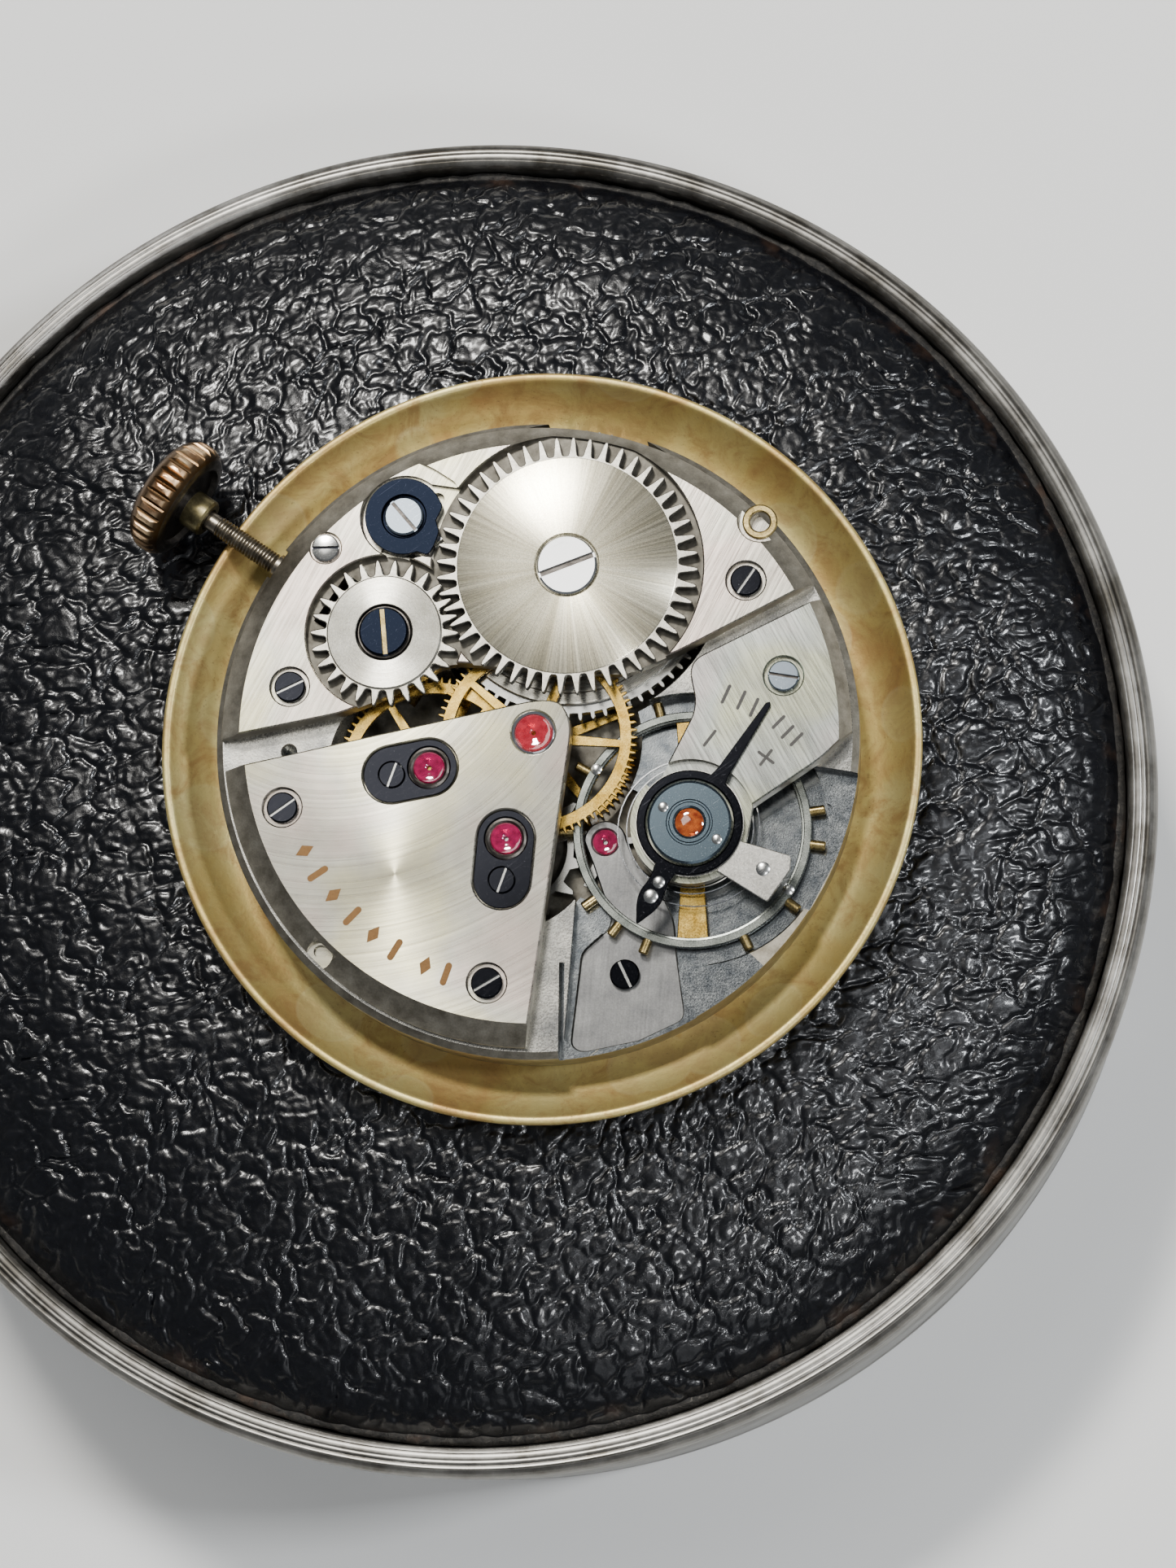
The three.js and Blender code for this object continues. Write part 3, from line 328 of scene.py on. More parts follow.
def combined(base, cut=(), keep=(), join=()):
    """base joined with the join solids, limited to the keep solids, less the cut solids"""
    target = raw_object(base)
    tools = []
    for operation, solids in (("UNION", join), ("INTERSECT", keep), ("DIFFERENCE", cut)):
        for solid in solids:
            tools.append(raw_object(solid))
            step = target.modifiers.new("step", "BOOLEAN")
            step.operation = operation
            step.solver = "MANIFOLD"
            step.object = tools[-1]
    result = target.evaluated_get(bpy.context.evaluated_depsgraph_get()).data
    points = [tuple(v.co) for v in result.vertices]
    faces = [tuple(p.vertices) for p in result.polygons]
    for obj in (target, *tools):
        mesh = obj.data
        bpy.data.objects.remove(obj)
        bpy.data.meshes.remove(mesh)
    return points, faces


# ---- Pieces ----

UP = Vector((0, 0, 1))
STEM_DIRECTION = Vector((*on_stem(1), 0))
STEM_AXES = Matrix((UP.cross(STEM_DIRECTION), UP, STEM_DIRECTION)).transposed()
STEM_TURN = STEM_AXES.to_quaternion().to_matrix().to_4x4()


def finished_mesh(name, solid, origin, paints, pick, crease):
    points, faces = solid
    mesh = bpy.data.meshes.new(name)
    mesh.from_pydata([tuple((c - o) * MM for c, o in zip(p, origin)) for p in points], [], faces)
    mesh.validate()
    for paint in paints:
        mesh.materials.append(MAT[paint])
    if pick:
        for face in mesh.polygons:
            spot = [c / MM + o for c, o in zip(face.center, origin)]
            face.material_index = pick(spot, face.normal)
    mesh.shade_smooth()
    mesh.set_sharp_from_angle(angle=math.radians(crease))
    return mesh


def piece(name, solid, body, paint, stands_for=None, origin=(0, 0, 0), base=(0, 0, 0),
          turn=Matrix.Identity(4), pick=None, crease=28, slot=None):
    """paint names a material, or the materials that pick chooses from. The piece's own texture coordinates
    start at origin, and base is where the frame of the solid stands."""
    paints = (paint,) if isinstance(paint, str) else paint
    obj = bpy.data.objects.new(name, finished_mesh(name, solid, origin, paints, pick, crease))
    bpy.context.collection.objects.link(obj)
    obj.matrix_world = Matrix.Translation(Vector(base) * MM) @ turn @ Matrix.Translation(Vector(origin) * MM)
    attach(obj, body)
    if stands_for:
        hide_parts(stands_for)
    return obj


def part(name, solid, paint, stands_for=None, axis=CENTRE, body="movement", **more):
    """A piece in the movement's frame, with its own origin on its axis"""
    return piece(name, solid, body, paint, stands_for, origin=(*axis, 0), base=MOVEMENT, **more)


def stem_part(name, solid, paint, stands_for=None, **more):
    """A piece turned about the stem: its z is the distance from the movement's centre"""
    base = MOVEMENT + Vector((0, 0, STEM_LEVEL))
    return piece(name, solid, "stem", paint, stands_for, base=base, turn=STEM_TURN, **more)


# ---- Materials ----

class Paint:
    """A node material whose textures are in millimetres of the piece's own frame"""

    SOCKETS = {
        "color": "Base Color", "metallic": "Metallic", "roughness": "Roughness", "ior": "IOR",
        "specular": "Specular IOR Level", "transmission": "Transmission Weight", "sheen": "Sheen Weight",
        "coat": "Coat Weight", "coat_roughness": "Coat Roughness", "anisotropic": "Anisotropic",
        "rotation": "Anisotropic Rotation", "normal": "Normal", "tangent": "Tangent",
    }

    def __init__(self, name, **settings):
        self.name = name
        self.material = bpy.data.materials.new(name)
        self.material.use_nodes = True
        self.tree = self.material.node_tree
        self.shader = self.tree.nodes["Principled BSDF"]
        self.set(**settings)
        coordinates = self.node("ShaderNodeTexCoord").outputs["Object"]
        self.mm = self.vector("SCALE", coordinates, scale=1 / MM)

    def node(self, kind, **props):
        made = self.tree.nodes.new(kind)
        for key, value in props.items():
            setattr(made, key, value)
        return made

    def feed(self, socket, value):
        if isinstance(value, bpy.types.NodeSocket):
            self.tree.links.new(value, socket)
        elif value is not None:
            socket.default_value = value

    def set(self, **settings):
        for key, value in settings.items():
            self.feed(self.shader.inputs[self.SOCKETS[key]], value)

    def vector(self, operation, a, b=None, scale=None):
        made = self.node("ShaderNodeVectorMath", operation=operation)
        self.feed(made.inputs[0], a)
        self.feed(made.inputs[1], b)
        if scale is not None:
            made.inputs["Scale"].default_value = scale
        return made.outputs["Value" if operation in ("LENGTH", "DOT_PRODUCT") else "Vector"]

    def math(self, operation, a, b=None, clamp=False):
        made = self.node("ShaderNodeMath", operation=operation, use_clamp=clamp)
        self.feed(made.inputs[0], a)
        self.feed(made.inputs[1], b)
        return made.outputs[0]

    def mapped(self, angle=0.0, scale=(1, 1, 1), shift=(0, 0, 0)):
        turned = self.node("ShaderNodeMapping")
        self.feed(turned.inputs["Vector"], self.mm)
        turned.inputs["Rotation"].default_value = (0, 0, math.radians(-angle))
        stretched = self.node("ShaderNodeMapping")
        self.feed(stretched.inputs["Vector"], turned.outputs[0])
        stretched.inputs["Scale"].default_value = scale
        stretched.inputs["Location"].default_value = shift
        return stretched.outputs[0]

    def noise(self, scale=1.0, vector=None, detail=3.0, roughness=0.55, distortion=0.0):
        made = self.node("ShaderNodeTexNoise")
        self.feed(made.inputs["Vector"], vector or self.mm)
        made.inputs["Scale"].default_value = scale
        made.inputs["Detail"].default_value = detail
        made.inputs["Roughness"].default_value = roughness
        made.inputs["Distortion"].default_value = distortion
        return made.outputs[0]

    def cells(self, scale, vector):
        made = self.node("ShaderNodeTexVoronoi")
        self.feed(made.inputs["Vector"], vector)
        made.inputs["Scale"].default_value = scale
        return made.outputs[0]

    def ramp(self, fac, *stops):
        made = self.node("ShaderNodeValToRGB")
        self.feed(made.inputs[0], fac)
        elements = made.color_ramp.elements
        while len(elements) < len(stops):
            elements.new(0.5)
        for element, (position, color) in zip(elements, stops):
            element.position = position
            element.color = (*color, 1) if isinstance(color, tuple) else (color, color, color, 1)
        return made.outputs[0]

    def mask(self, fac, low, high, peak=1.0):
        return self.ramp(fac, (low, 0.0), (high, peak))

    def mix(self, fac, a, b, blend="MIX"):
        made = self.node("ShaderNodeMix", data_type="RGBA", blend_type=blend)
        for socket, value in zip((made.inputs[0], made.inputs[6], made.inputs[7]), (fac, a, b)):
            self.feed(socket, (*value, 1) if isinstance(value, tuple) else value)
        return made.outputs[2]

    def tint(self, body, mask, amount, color):
        """The body with some of the colour over it where the mask is white"""
        return self.mix(self.math("MULTIPLY", mask, amount), body, color)

    def shade(self, body, amount, fac, *stops):
        """The body darkened by a ramp over fac"""
        return self.mix(amount, body, self.ramp(fac, *stops), "MULTIPLY")

    def around(self, middle, fac, spread):
        """A roughness near middle, rougher where fac is high"""
        swing = self.math("MULTIPLY", self.math("SUBTRACT", fac, 0.5), spread)
        return self.math("ADD", swing, middle, clamp=True)

    def bump(self, height, strength, depth, normal=None):
        made = self.node("ShaderNodeBump")
        made.inputs["Strength"].default_value = strength
        made.inputs["Distance"].default_value = depth * MM
        self.feed(made.inputs["Height"], height)
        self.feed(made.inputs["Normal"], normal)
        return made.outputs[0]

    def radius(self):
        return self.vector("LENGTH", self.vector("MULTIPLY", self.mm, (1, 1, 0)))

    def rings(self, scale, detail=4.0):
        """Fine turning lines about the axis, on upright walls as well as on faces"""
        line = self.node("ShaderNodeCombineXYZ")
        self.feed(line.inputs[0], self.radius())
        self.feed(line.inputs[1], self.vector("DOT_PRODUCT", self.mm, (0, 0, 1)))
        return self.noise(scale, line.outputs[0], detail, 0.7)

    def rays(self, scale, detail=4.0):
        """Fine lines that run out from the piece's axis"""
        flat = self.vector("MULTIPLY", self.mm, (1, 1, 0))
        return self.noise(scale, self.vector("NORMALIZE", flat), detail, 0.75)

    def strokes(self, angle, scale, stretch=30.0):
        """Fine straight brush lines"""
        return self.noise(1.0, self.mapped(angle, (scale / stretch, scale, scale)), 3.0, 0.7)

    def turned(self, strength):
        """Draws highlights out across the grooves that a lathe leaves"""
        axis = self.node("ShaderNodeTangent", direction_type="RADIAL", axis="Z")
        self.set(anisotropic=strength, rotation=0.25, tangent=axis.outputs[0])


def plain_metal(name, dark, light, roughness, spots=1.2, grain=None, depth=0.002, strength=0.3, spread=0.12):
    """Metal with soft patches of colour, finer specks and, where it has one, a grain"""
    paint = Paint(name, metallic=1.0)
    height = fine = paint.noise(14.0, detail=2.0)
    body = paint.mix(paint.mask(paint.noise(spots, detail=5.0), 0.3, 0.72), dark, light)
    body = paint.shade(body, 0.35, fine, (0.3, 0.35), (0.7, 1.0))
    if grain:
        height = grain(paint)
        body = paint.shade(body, 0.3, height, (0.3, 0.45), (0.7, 1.0))
    paint.set(color=body, roughness=paint.around(roughness, height, spread))
    paint.set(normal=paint.bump(height, strength, depth))
    return paint


def make_bridge_nickel(name, grain, turned_look=0.0, tone=(1, 1, 1)):
    """Brushed nickel with faint pink and yellow tints, multiplied by tone; a darker tone is painted shade."""
    paint = Paint(name, metallic=1.0)
    lines = grain(paint)
    hue = paint.noise(0.22, detail=2.0)
    light = paint.ramp(hue, (0.38, (0.77, 0.65, 0.57)), (0.5, (0.73, 0.70, 0.59)), (0.62, (0.77, 0.72, 0.48)))
    dull = paint.mix(0.55, light, (0.40, 0.38, 0.33))
    body = paint.mix(paint.mask(paint.noise(0.6, detail=5.0), 0.3, 0.7), dull, light)
    body = paint.shade(body, 0.5, lines, (0.34, 0.35), (0.62, 1.0))
    body = paint.tint(body, paint.mask(paint.noise(10.0, detail=4.0), 0.64, 0.76), 0.4, (0.22, 0.18, 0.13))
    # tone multiplies the colour; below 1 it paints shade onto this copy of the nickel
    paint.set(color=paint.mix(1.0, body, tone, "MULTIPLY"), roughness=paint.around(0.28, lines, 0.2))
    paint.set(normal=paint.bump(lines, 0.5, 0.006))
    if turned_look:
        paint.turned(turned_look)
    return paint


def make_sunray():
    """Turned round the axis, which draws each highlight out into rays"""
    paint = Paint("sunray_nickel", metallic=1.0)
    rays = paint.rays(40.0)
    body = paint.mix(paint.mask(paint.rays(6.0, 2.0), 0.3, 0.7), (0.58, 0.53, 0.38), (0.82, 0.77, 0.60))
    body = paint.shade(body, 0.45, rays, (0.32, 0.35), (0.62, 1.0))
    body = paint.shade(body, 0.35, paint.noise(16.0), (0.38, 0.3), (0.6, 1.0))
    paint.set(color=body, roughness=paint.around(0.27, rays, 0.2))
    paint.set(normal=paint.bump(paint.rings(16.0), 0.3, 0.003))
    paint.turned(0.8)
    return paint


def make_turned(name, dark, light, roughness, scale, anisotropic):
    """Metal with the fine rings that a lathe leaves"""
    paint = plain_metal(name, dark, light, roughness, 0.9, lambda p: p.rings(scale), 0.004, 0.5)
    paint.turned(anisotropic)
    return paint


def make_ring_steel():
    """Old turned steel: deep tool lines, stains and scratches across them"""
    paint = Paint("turned_steel", metallic=1.0)
    lines = paint.rings(4.5)
    stain = paint.noise(0.35, detail=6.0, roughness=0.7)
    scratches = paint.mask(paint.noise(1.6, paint.mapped(scale=(1, 1, 0.1)), 6.0, 0.8), 0.6, 0.7)
    body = paint.ramp(
        stain, (0.36, (0.15, 0.14, 0.12)), (0.5, (0.26, 0.25, 0.23)), (0.66, (0.38, 0.37, 0.34))
    )
    body = paint.shade(body, 0.6, lines, (0.32, 0.3), (0.64, 1.0))
    paint.set(color=paint.tint(body, scratches, 0.4, (0.16, 0.14, 0.12)))
    paint.set(roughness=paint.around(0.36, stain, 0.3), normal=paint.bump(lines, 0.6, 0.02))
    paint.turned(0.4)
    return paint


def make_polished(name, color, roughness, dirt=(0.3, 0.28, 0.25)):
    paint = Paint(name, metallic=1.0)
    specks = paint.mask(paint.noise(20.0, detail=6.0), 0.62, 0.74)
    scratches = paint.mask(paint.strokes(35, 16.0), 0.62, 0.74)
    marks = paint.mix(0.5, specks, scratches, "ADD")
    paint.set(color=paint.tint(color, marks, 0.5, dirt))
    paint.set(roughness=paint.math("ADD", paint.math("MULTIPLY", marks, 0.25), roughness, clamp=True))
    paint.set(normal=paint.bump(marks, 0.15, 0.002))
    return paint


def make_dial_brass():
    """Old dial brass: olive, with brown and coppery stains, and paler round spots"""
    paint = Paint("dial_brass", metallic=0.88)
    broad = paint.noise(0.17, detail=5.0, distortion=0.7)
    blotch = paint.noise(0.7, detail=8.0, roughness=0.7, distortion=1.0)
    spot = paint.cells(0.26, paint.mapped(shift=(7, 3, 0)))
    islands = paint.ramp(spot, (0.36, 1.0), (0.385, 0.0))
    outline = paint.math("SUBTRACT", paint.ramp(spot, (0.37, 1.0), (0.40, 0.0)), islands)
    specks = paint.mask(paint.noise(9.0, detail=4.0), 0.6, 0.75)
    body = paint.ramp(
        broad, (0.32, (0.43, 0.25, 0.09)), (0.47, (0.51, 0.39, 0.135)), (0.64, (0.57, 0.49, 0.21))
    )
    body = paint.mix(paint.mask(blotch, 0.44, 0.64, 0.8), body, (0.33, 0.20, 0.075))
    body = paint.tint(body, islands, 0.22, (0.58, 0.54, 0.26))
    body = paint.tint(body, outline, 0.35, (0.68, 0.62, 0.34))
    paint.set(color=paint.tint(body, specks, 0.5, (0.16, 0.10, 0.05)))
    blur = paint.math("ADD", paint.math("MULTIPLY", blotch, 0.2), 0.38)
    paint.set(roughness=paint.math("ADD", blur, paint.math("MULTIPLY", specks, 0.2), clamp=True))
    paint.set(normal=paint.bump(paint.noise(5.0, detail=6.0), 0.5, 0.015))
    return paint


def make_jewel(name, deep, bright):
    paint = Paint(name, roughness=0.06, transmission=0.55, coat=1.0, coat_roughness=0.03, ior=1.76)
    paint.set(color=paint.mix(paint.mask(paint.noise(4.0), 0.35, 0.65), deep, bright))
    return paint


def make_leather():
    """Black glazed leather, worn brown at its edge"""
    paint = Paint("black_leather", specular=0.32, coat=0.36, coat_roughness=0.12)
    pebbles = paint.cells(3.4, paint.mapped(scale=(1, 1, 0.6)))
    wrinkles = paint.noise(2.6, detail=6.0, roughness=0.65, distortion=0.8)
    edge = paint.mask(paint.math("DIVIDE", paint.radius(), 26.5), 0.96, 1.0)
    worn = paint.math("MULTIPLY", edge, paint.mask(paint.noise(0.5, detail=6.0), 0.56, 0.74, 0.6))
    body = paint.mix(paint.mask(wrinkles, 0.35, 0.7), (0.001, 0.0011, 0.0018), (0.003, 0.0034, 0.005))
    body = paint.tint(body, paint.mask(paint.noise(7.0, detail=5.0), 0.66, 0.8), 0.2, (0.10, 0.10, 0.10))
    gloss = paint.ramp(paint.noise(1.1, detail=5.0), (0.3, 0.22), (0.7, 0.38))
    paint.set(color=paint.tint(body, worn, 0.7, (0.10, 0.052, 0.028)))
    paint.set(roughness=paint.mix(worn, gloss, (0.75, 0.75, 0.75)))
    coarse = paint.bump(pebbles, 0.16, 0.06)
    middle = paint.bump(wrinkles, 0.3, 0.08, coarse)
    paint.set(normal=paint.bump(paint.noise(16.0, detail=4.0), 0.35, 0.012, middle))
    return paint


def make_hem():
    paint = Paint("leather_hem", roughness=0.7, specular=0.3)
    threads = paint.noise(3.0, detail=6.0, roughness=0.7, distortion=1.0)
    body = paint.ramp(
        threads, (0.35, (0.008, 0.008, 0.008)), (0.6, (0.035, 0.032, 0.028)), (0.78, (0.15, 0.14, 0.12))
    )
    body = paint.mix(paint.mask(paint.noise(0.35, detail=4.0), 0.58, 0.72, 0.6), body, (0.09, 0.05, 0.03))
    paint.set(color=body, normal=paint.bump(threads, 0.9, 0.12))
    return paint


def make_felt():
    paint = Paint("pad_felt", roughness=0.95, sheen=0.4)
    fibres = paint.noise(5.0, detail=6.0, distortion=2.0)
    paint.set(color=paint.ramp(fibres, (0.3, (0.10, 0.09, 0.08)), (0.7, (0.22, 0.20, 0.17))))
    paint.set(normal=paint.bump(fibres, 0.6, 0.2))
    return paint


def make_worn_gold():
    """Rose gold plate, worn through on the crests and dark between the flutes"""
    paint = Paint("worn_gold", metallic=1.0)
    depth = paint.math("SUBTRACT", paint.radius(), 2.36)
    crest = paint.mask(paint.math("MULTIPLY", depth, 7.0), 0.15, 0.8)
    wear = paint.noise(1.3, detail=6.0)
    gold = paint.ramp(wear, (0.35, (0.55, 0.30, 0.15)), (0.5, (0.80, 0.52, 0.30)), (0.68, (0.86, 0.68, 0.42)))
    body = paint.mix(crest, (0.10, 0.06, 0.03), gold)
    body = paint.tint(body, paint.mask(paint.noise(6.0, detail=5.0), 0.45, 0.7), 0.35, (0.12, 0.09, 0.05))
    paint.set(color=body, roughness=paint.ramp(wear, (0.3, 0.28), (0.7, 0.42)))
    paint.set(normal=paint.bump(paint.noise(8.0, detail=4.0), 0.3, 0.02))
    return paint


def make_floor_paint():
    paint = Paint("pale_floor", roughness=0.85)
    paint.set(color=paint.mix(paint.noise(0.05, detail=4.0), (0.76, 0.76, 0.74), (0.80, 0.80, 0.785)))
    return paint


def make_engraving(name, color, roughness, metallic):
    paint = Paint(name, roughness=roughness, metallic=metallic)
    fine = paint.noise(12.0)
    paint.set(color=paint.mix(fine, tuple(c * 0.5 for c in color), color), normal=paint.bump(fine, 0.4, 0.01))
    return paint


PLAIN = {  # dark, light, roughness, size of the patches, grain, depth, strength, spread
    "plate_nickel": ((0.26, 0.26, 0.25), (0.60, 0.58, 0.52), 0.27, 0.9, None, 0.008, 0.5, 0.3),
    "plate_blue": ((0.16, 0.18, 0.20), (0.46, 0.48, 0.48), 0.2, 1.3, None, 0.006, 0.4, 0.25),
    "grey_nickel": ((0.20, 0.20, 0.20), (0.32, 0.32, 0.31), 0.34, 1.0, lambda p: p.strokes(85, 12.0)),
    # darker brown-grey for rims, outer bevels and upright walls: part tarnish, part painted shade
    "tarnish_and_shade_edge": ((0.20, 0.18, 0.14), (0.42, 0.39, 0.32), 0.42, 1.6, None, 0.008, 0.4, 0.2),
    "tooth_steel": ((0.10, 0.095, 0.085), (0.30, 0.29, 0.27), 0.32, 2.0, None, 0.004, 0.4, 0.2),
    "tooth_tops": ((0.48, 0.45, 0.38), (0.80, 0.77, 0.68), 0.25, 2.0),
    # a dark paint standing for shade on the floors of the wells and of the recesses under the wheels
    "recess_painted_shade": ((0.06, 0.055, 0.045), (0.16, 0.15, 0.125), 0.45, 2.0),
    "bright_nickel": ((0.66, 0.64, 0.58), (0.86, 0.84, 0.78), 0.25, 1.0),
    "balance_rim_metal": ((0.20, 0.22, 0.20), (0.42, 0.44, 0.40), 0.26, 1.5),
    "dark_steel": ((0.05, 0.045, 0.04), (0.17, 0.155, 0.14), 0.36, 2.0, None, 0.01, 0.4, 0.2),
    "stem_steel": ((0.14, 0.12, 0.09), (0.40, 0.36, 0.29), 0.34, 3.0, None, 0.01, 0.4, 0.2),
    "gilt_brass": ((0.50, 0.30, 0.05), (0.84, 0.58, 0.16), 0.26, 2.2, None, 0.004, 0.4, 0.3),
    "screw_brass": ((0.26, 0.19, 0.07), (0.58, 0.45, 0.20), 0.3, 2.2, None, 0.004, 0.4, 0.3),
    "boss_brass": ((0.12, 0.10, 0.05), (0.36, 0.31, 0.16), 0.4, 2.2, None, 0.004, 0.4, 0.3),
}
POLISHED = {  # colour, roughness, dirt
    "polished_steel": ((0.80, 0.81, 0.82), 0.08),
    "satin_steel": ((0.50, 0.50, 0.48), 0.22),
    "black_polished_steel": ((0.018, 0.019, 0.024), 0.12, (0.16, 0.16, 0.18)),
    "blued_steel": ((0.009, 0.012, 0.021), 0.2, (0.05, 0.055, 0.075)),
    "blue_grey_steel": ((0.34, 0.40, 0.46), 0.2, (0.7, 0.72, 0.72)),
    "shock_setting_steel": ((0.12, 0.16, 0.19), 0.2, (0.4, 0.42, 0.42)),
}
PAINTS = [plain_metal(name, *look) for name, look in PLAIN.items()]
PAINTS += [make_polished(name, *look) for name, look in POLISHED.items()]
PAINTS += [
    make_bridge_nickel("barrel_bridge_nickel", lambda p: p.strokes(62, 11.0)),
    make_bridge_nickel("train_bridge_nickel", lambda p: p.rings(5.0), 0.7),
    # the balance cock's copy is multiplied by a darker, cooler tone: painted shade on the same bridge nickel
    make_bridge_nickel("balance_cock_nickel", lambda p: p.strokes(118, 13.0), tone=(0.68, 0.74, 0.80)),
    make_turned("crown_wheel_nickel", (0.48, 0.46, 0.39), (0.74, 0.72, 0.64), 0.27, 12.0, 0.8),
    make_turned("base_steel", (0.30, 0.30, 0.29), (0.55, 0.54, 0.52), 0.32, 3.0, 0.7),
    make_jewel("ruby", (0.32, 0.0, 0.055), (0.62, 0.01, 0.13)),
    make_jewel("red_ruby", (0.55, 0.01, 0.03), (0.80, 0.05, 0.08)),
    make_jewel("amber", (0.30, 0.03, 0.0), (0.70, 0.16, 0.02)),
    make_engraving("gold_fill", (0.20, 0.10, 0.03), 0.5, 0.6),
    make_engraving("engraved_line", (0.07, 0.065, 0.06), 0.6, 0.4),
]
for make in (make_sunray, make_ring_steel, make_dial_brass, make_leather, make_hem, make_felt, make_worn_gold,
             make_floor_paint):
    PAINTS.append(make())
MAT = {paint.name: paint.material for paint in PAINTS}


# ---- The holder ----

RING_RADIUS, _, RING_HEIGHT = box_mm("rim_ring")[1]
RING_BORE = RING_RADIUS - 1.25
BASE_TOP = box_mm("base_plate")[1][2]
PAD_TOP = box_mm("leather_cover")[1][2]
PAD_EDGE = 12.6
PAD_RADIUS = RING_BORE - 0.2
PAD_FOOT = BASE_TOP + 0.2
PAD_GRID = 560
LEATHER = 1.2
TURNING_STEPS = 360


def wall_groove(z, high, deep):
    """Profile points of a groove turned into the ring's outer wall"""
    return [(RING_RADIUS, z - high / 2), (RING_RADIUS - deep, z), (RING_RADIUS, z + high / 2)]


def make_ring():
    profile = [(RING_BORE + 0.5, 0.0), (RING_RADIUS - 0.3, 0.0)]
    profile += [(RING_RADIUS - 0.06, 0.12), (RING_RADIUS, 0.3)]
    profile += wall_groove(1.9, 0.3, 0.09) + wall_groove(2.5, 0.3, 0.09)
    profile += wall_groove(RING_HEIGHT - 1.9, 0.24, 0.08)
    lip = [  # in from the outer wall, and down from the top
        (0, 1.1), (0.1, 0.78), (0.33, 0.62), (0.35, 0.5), (0.35, 0.07), (0.42, 0), (0.5, 0.02), (0.54, 0.05),
        (0.58, 0.01), (0.68, 0), (0.74, 0.04), (0.8, 0.015), (0.96, 0.05), (1.0, 0.08), (1.04, 0.06),
    ]
    profile += [(RING_RADIUS - inward, RING_HEIGHT - down) for inward, down in lip]
    profile += [(RING_BORE + 0.06, RING_HEIGHT - 0.12), (RING_BORE, RING_HEIGHT - 0.2)]
    profile += [(RING_BORE, BASE_TOP), (RING_BORE + 0.5, BASE_TOP)]
    piece("rim_ring_turned", lathe(profile, TURNING_STEPS), "holder", "turned_steel", "rim_ring", crease=40)


def make_base():
    edge = RING_BORE + 0.4
    profile = [(0, 0.1), (1.2, 0.1), (1.5, 0.25), (1.9, 0.1), (8.0, 0.1), (8.2, 0.2), (8.4, 0.1)]
    profile += [(22.6, 0.1), (22.9, 0.0), (26.6, 0.0), (edge, 0.15), (edge, BASE_TOP), (0, BASE_TOP)]
    solid = lathe(profile, TURNING_STEPS // 2)
    piece("base_plate_turned", solid, "holder", "base_steel", "base_plate", crease=30)


# ---- Leather ----

def gradient_noise(points, size, seed):
    """Smooth noise from -1 to 1 whose features are about size across"""
    table = np.random.default_rng(seed).uniform(0, 2 * math.pi, (128, 128))
    scaled = points / size + 37.3
    cell = np.floor(scaled).astype(int)
    local = scaled - cell
    fade = local ** 3 * (local * (local * 6 - 15) + 10)
    total = np.zeros(len(points))
    for dx in (0, 1):
        for dy in (0, 1):
            angle = table[(cell[:, 0] + dx) % 128, (cell[:, 1] + dy) % 128]
            dot = np.cos(angle) * (local[:, 0] - dx) + np.sin(angle) * (local[:, 1] - dy)
            weight = (fade[:, 0] if dx else 1 - fade[:, 0]) * (fade[:, 1] if dy else 1 - fade[:, 1])
            total += dot * weight
    return total * 1.5


def creases(points, size, width, seed):
    """1 where two cells of a jittered grid meet, and falling to 0 over about width"""
    jitter = np.random.default_rng(seed).uniform(0.08, 0.92, (128, 128, 2))
    scaled = points / size + 41.7
    cell = np.floor(scaled).astype(int)
    nearest = np.full(len(points), 9.0)
    second = np.full(len(points), 9.0)
    for dx in (-1, 0, 1):
        for dy in (-1, 0, 1):
            near = cell + (dx, dy)
            seed_point = near + jitter[near[:, 0] % 128, near[:, 1] % 128]
            apart = np.linalg.norm(scaled - seed_point, axis=1)
            second = np.minimum(second, np.maximum(nearest, apart))
            nearest = np.minimum(nearest, apart)
    return np.exp(-(((second * size - nearest * size) / width) ** 2))


def crown_height(r):
    share = np.clip(r / PAD_RADIUS, 0, 1)
    return PAD_TOP - (PAD_TOP - PAD_EDGE) * (1 - np.sqrt(1 - share ** 3.2))


def leather_relief(flat):
    """Height of the grain above the crown: lumps parted by crooked creases, with wrinkles and pebbles"""
    lean = math.radians(20)
    along = flat @ np.array([[math.cos(lean), -math.sin(lean)], [math.sin(lean), math.cos(lean)]])
    spots = along * (0.82, 1.0)
    warp = np.zeros_like(spots)
    for size, seed, amount in ((1.4, 1, 0.55), (0.5, 3, 0.22)):
        warp += np.stack([gradient_noise(spots, size, seed + axis) for axis in (0, 1)], axis=1) * amount
    wrinkle = 1 - 2 * np.abs(gradient_noise(spots + warp * 0.8, 0.7, 13))
    strength = 0.62 + 0.5 * gradient_noise(flat, 2.8, 7)
    patchy = 0.65 + 0.6 * gradient_noise(flat, 1.7, 12)
    relief = 0.12 * gradient_noise(flat, 6.0, 8) + 0.035 * gradient_noise(spots, 1.1, 9)
    relief -= 0.17 * creases(spots + warp, 1.12, 0.17, 5) * strength
    relief -= 0.06 * creases(spots + warp * 0.6, 0.46, 0.13, 6) * patchy
    relief += 0.022 * wrinkle * (1.2 - strength)
    relief += 0.018 * gradient_noise(flat, 0.36, 10)
    return relief


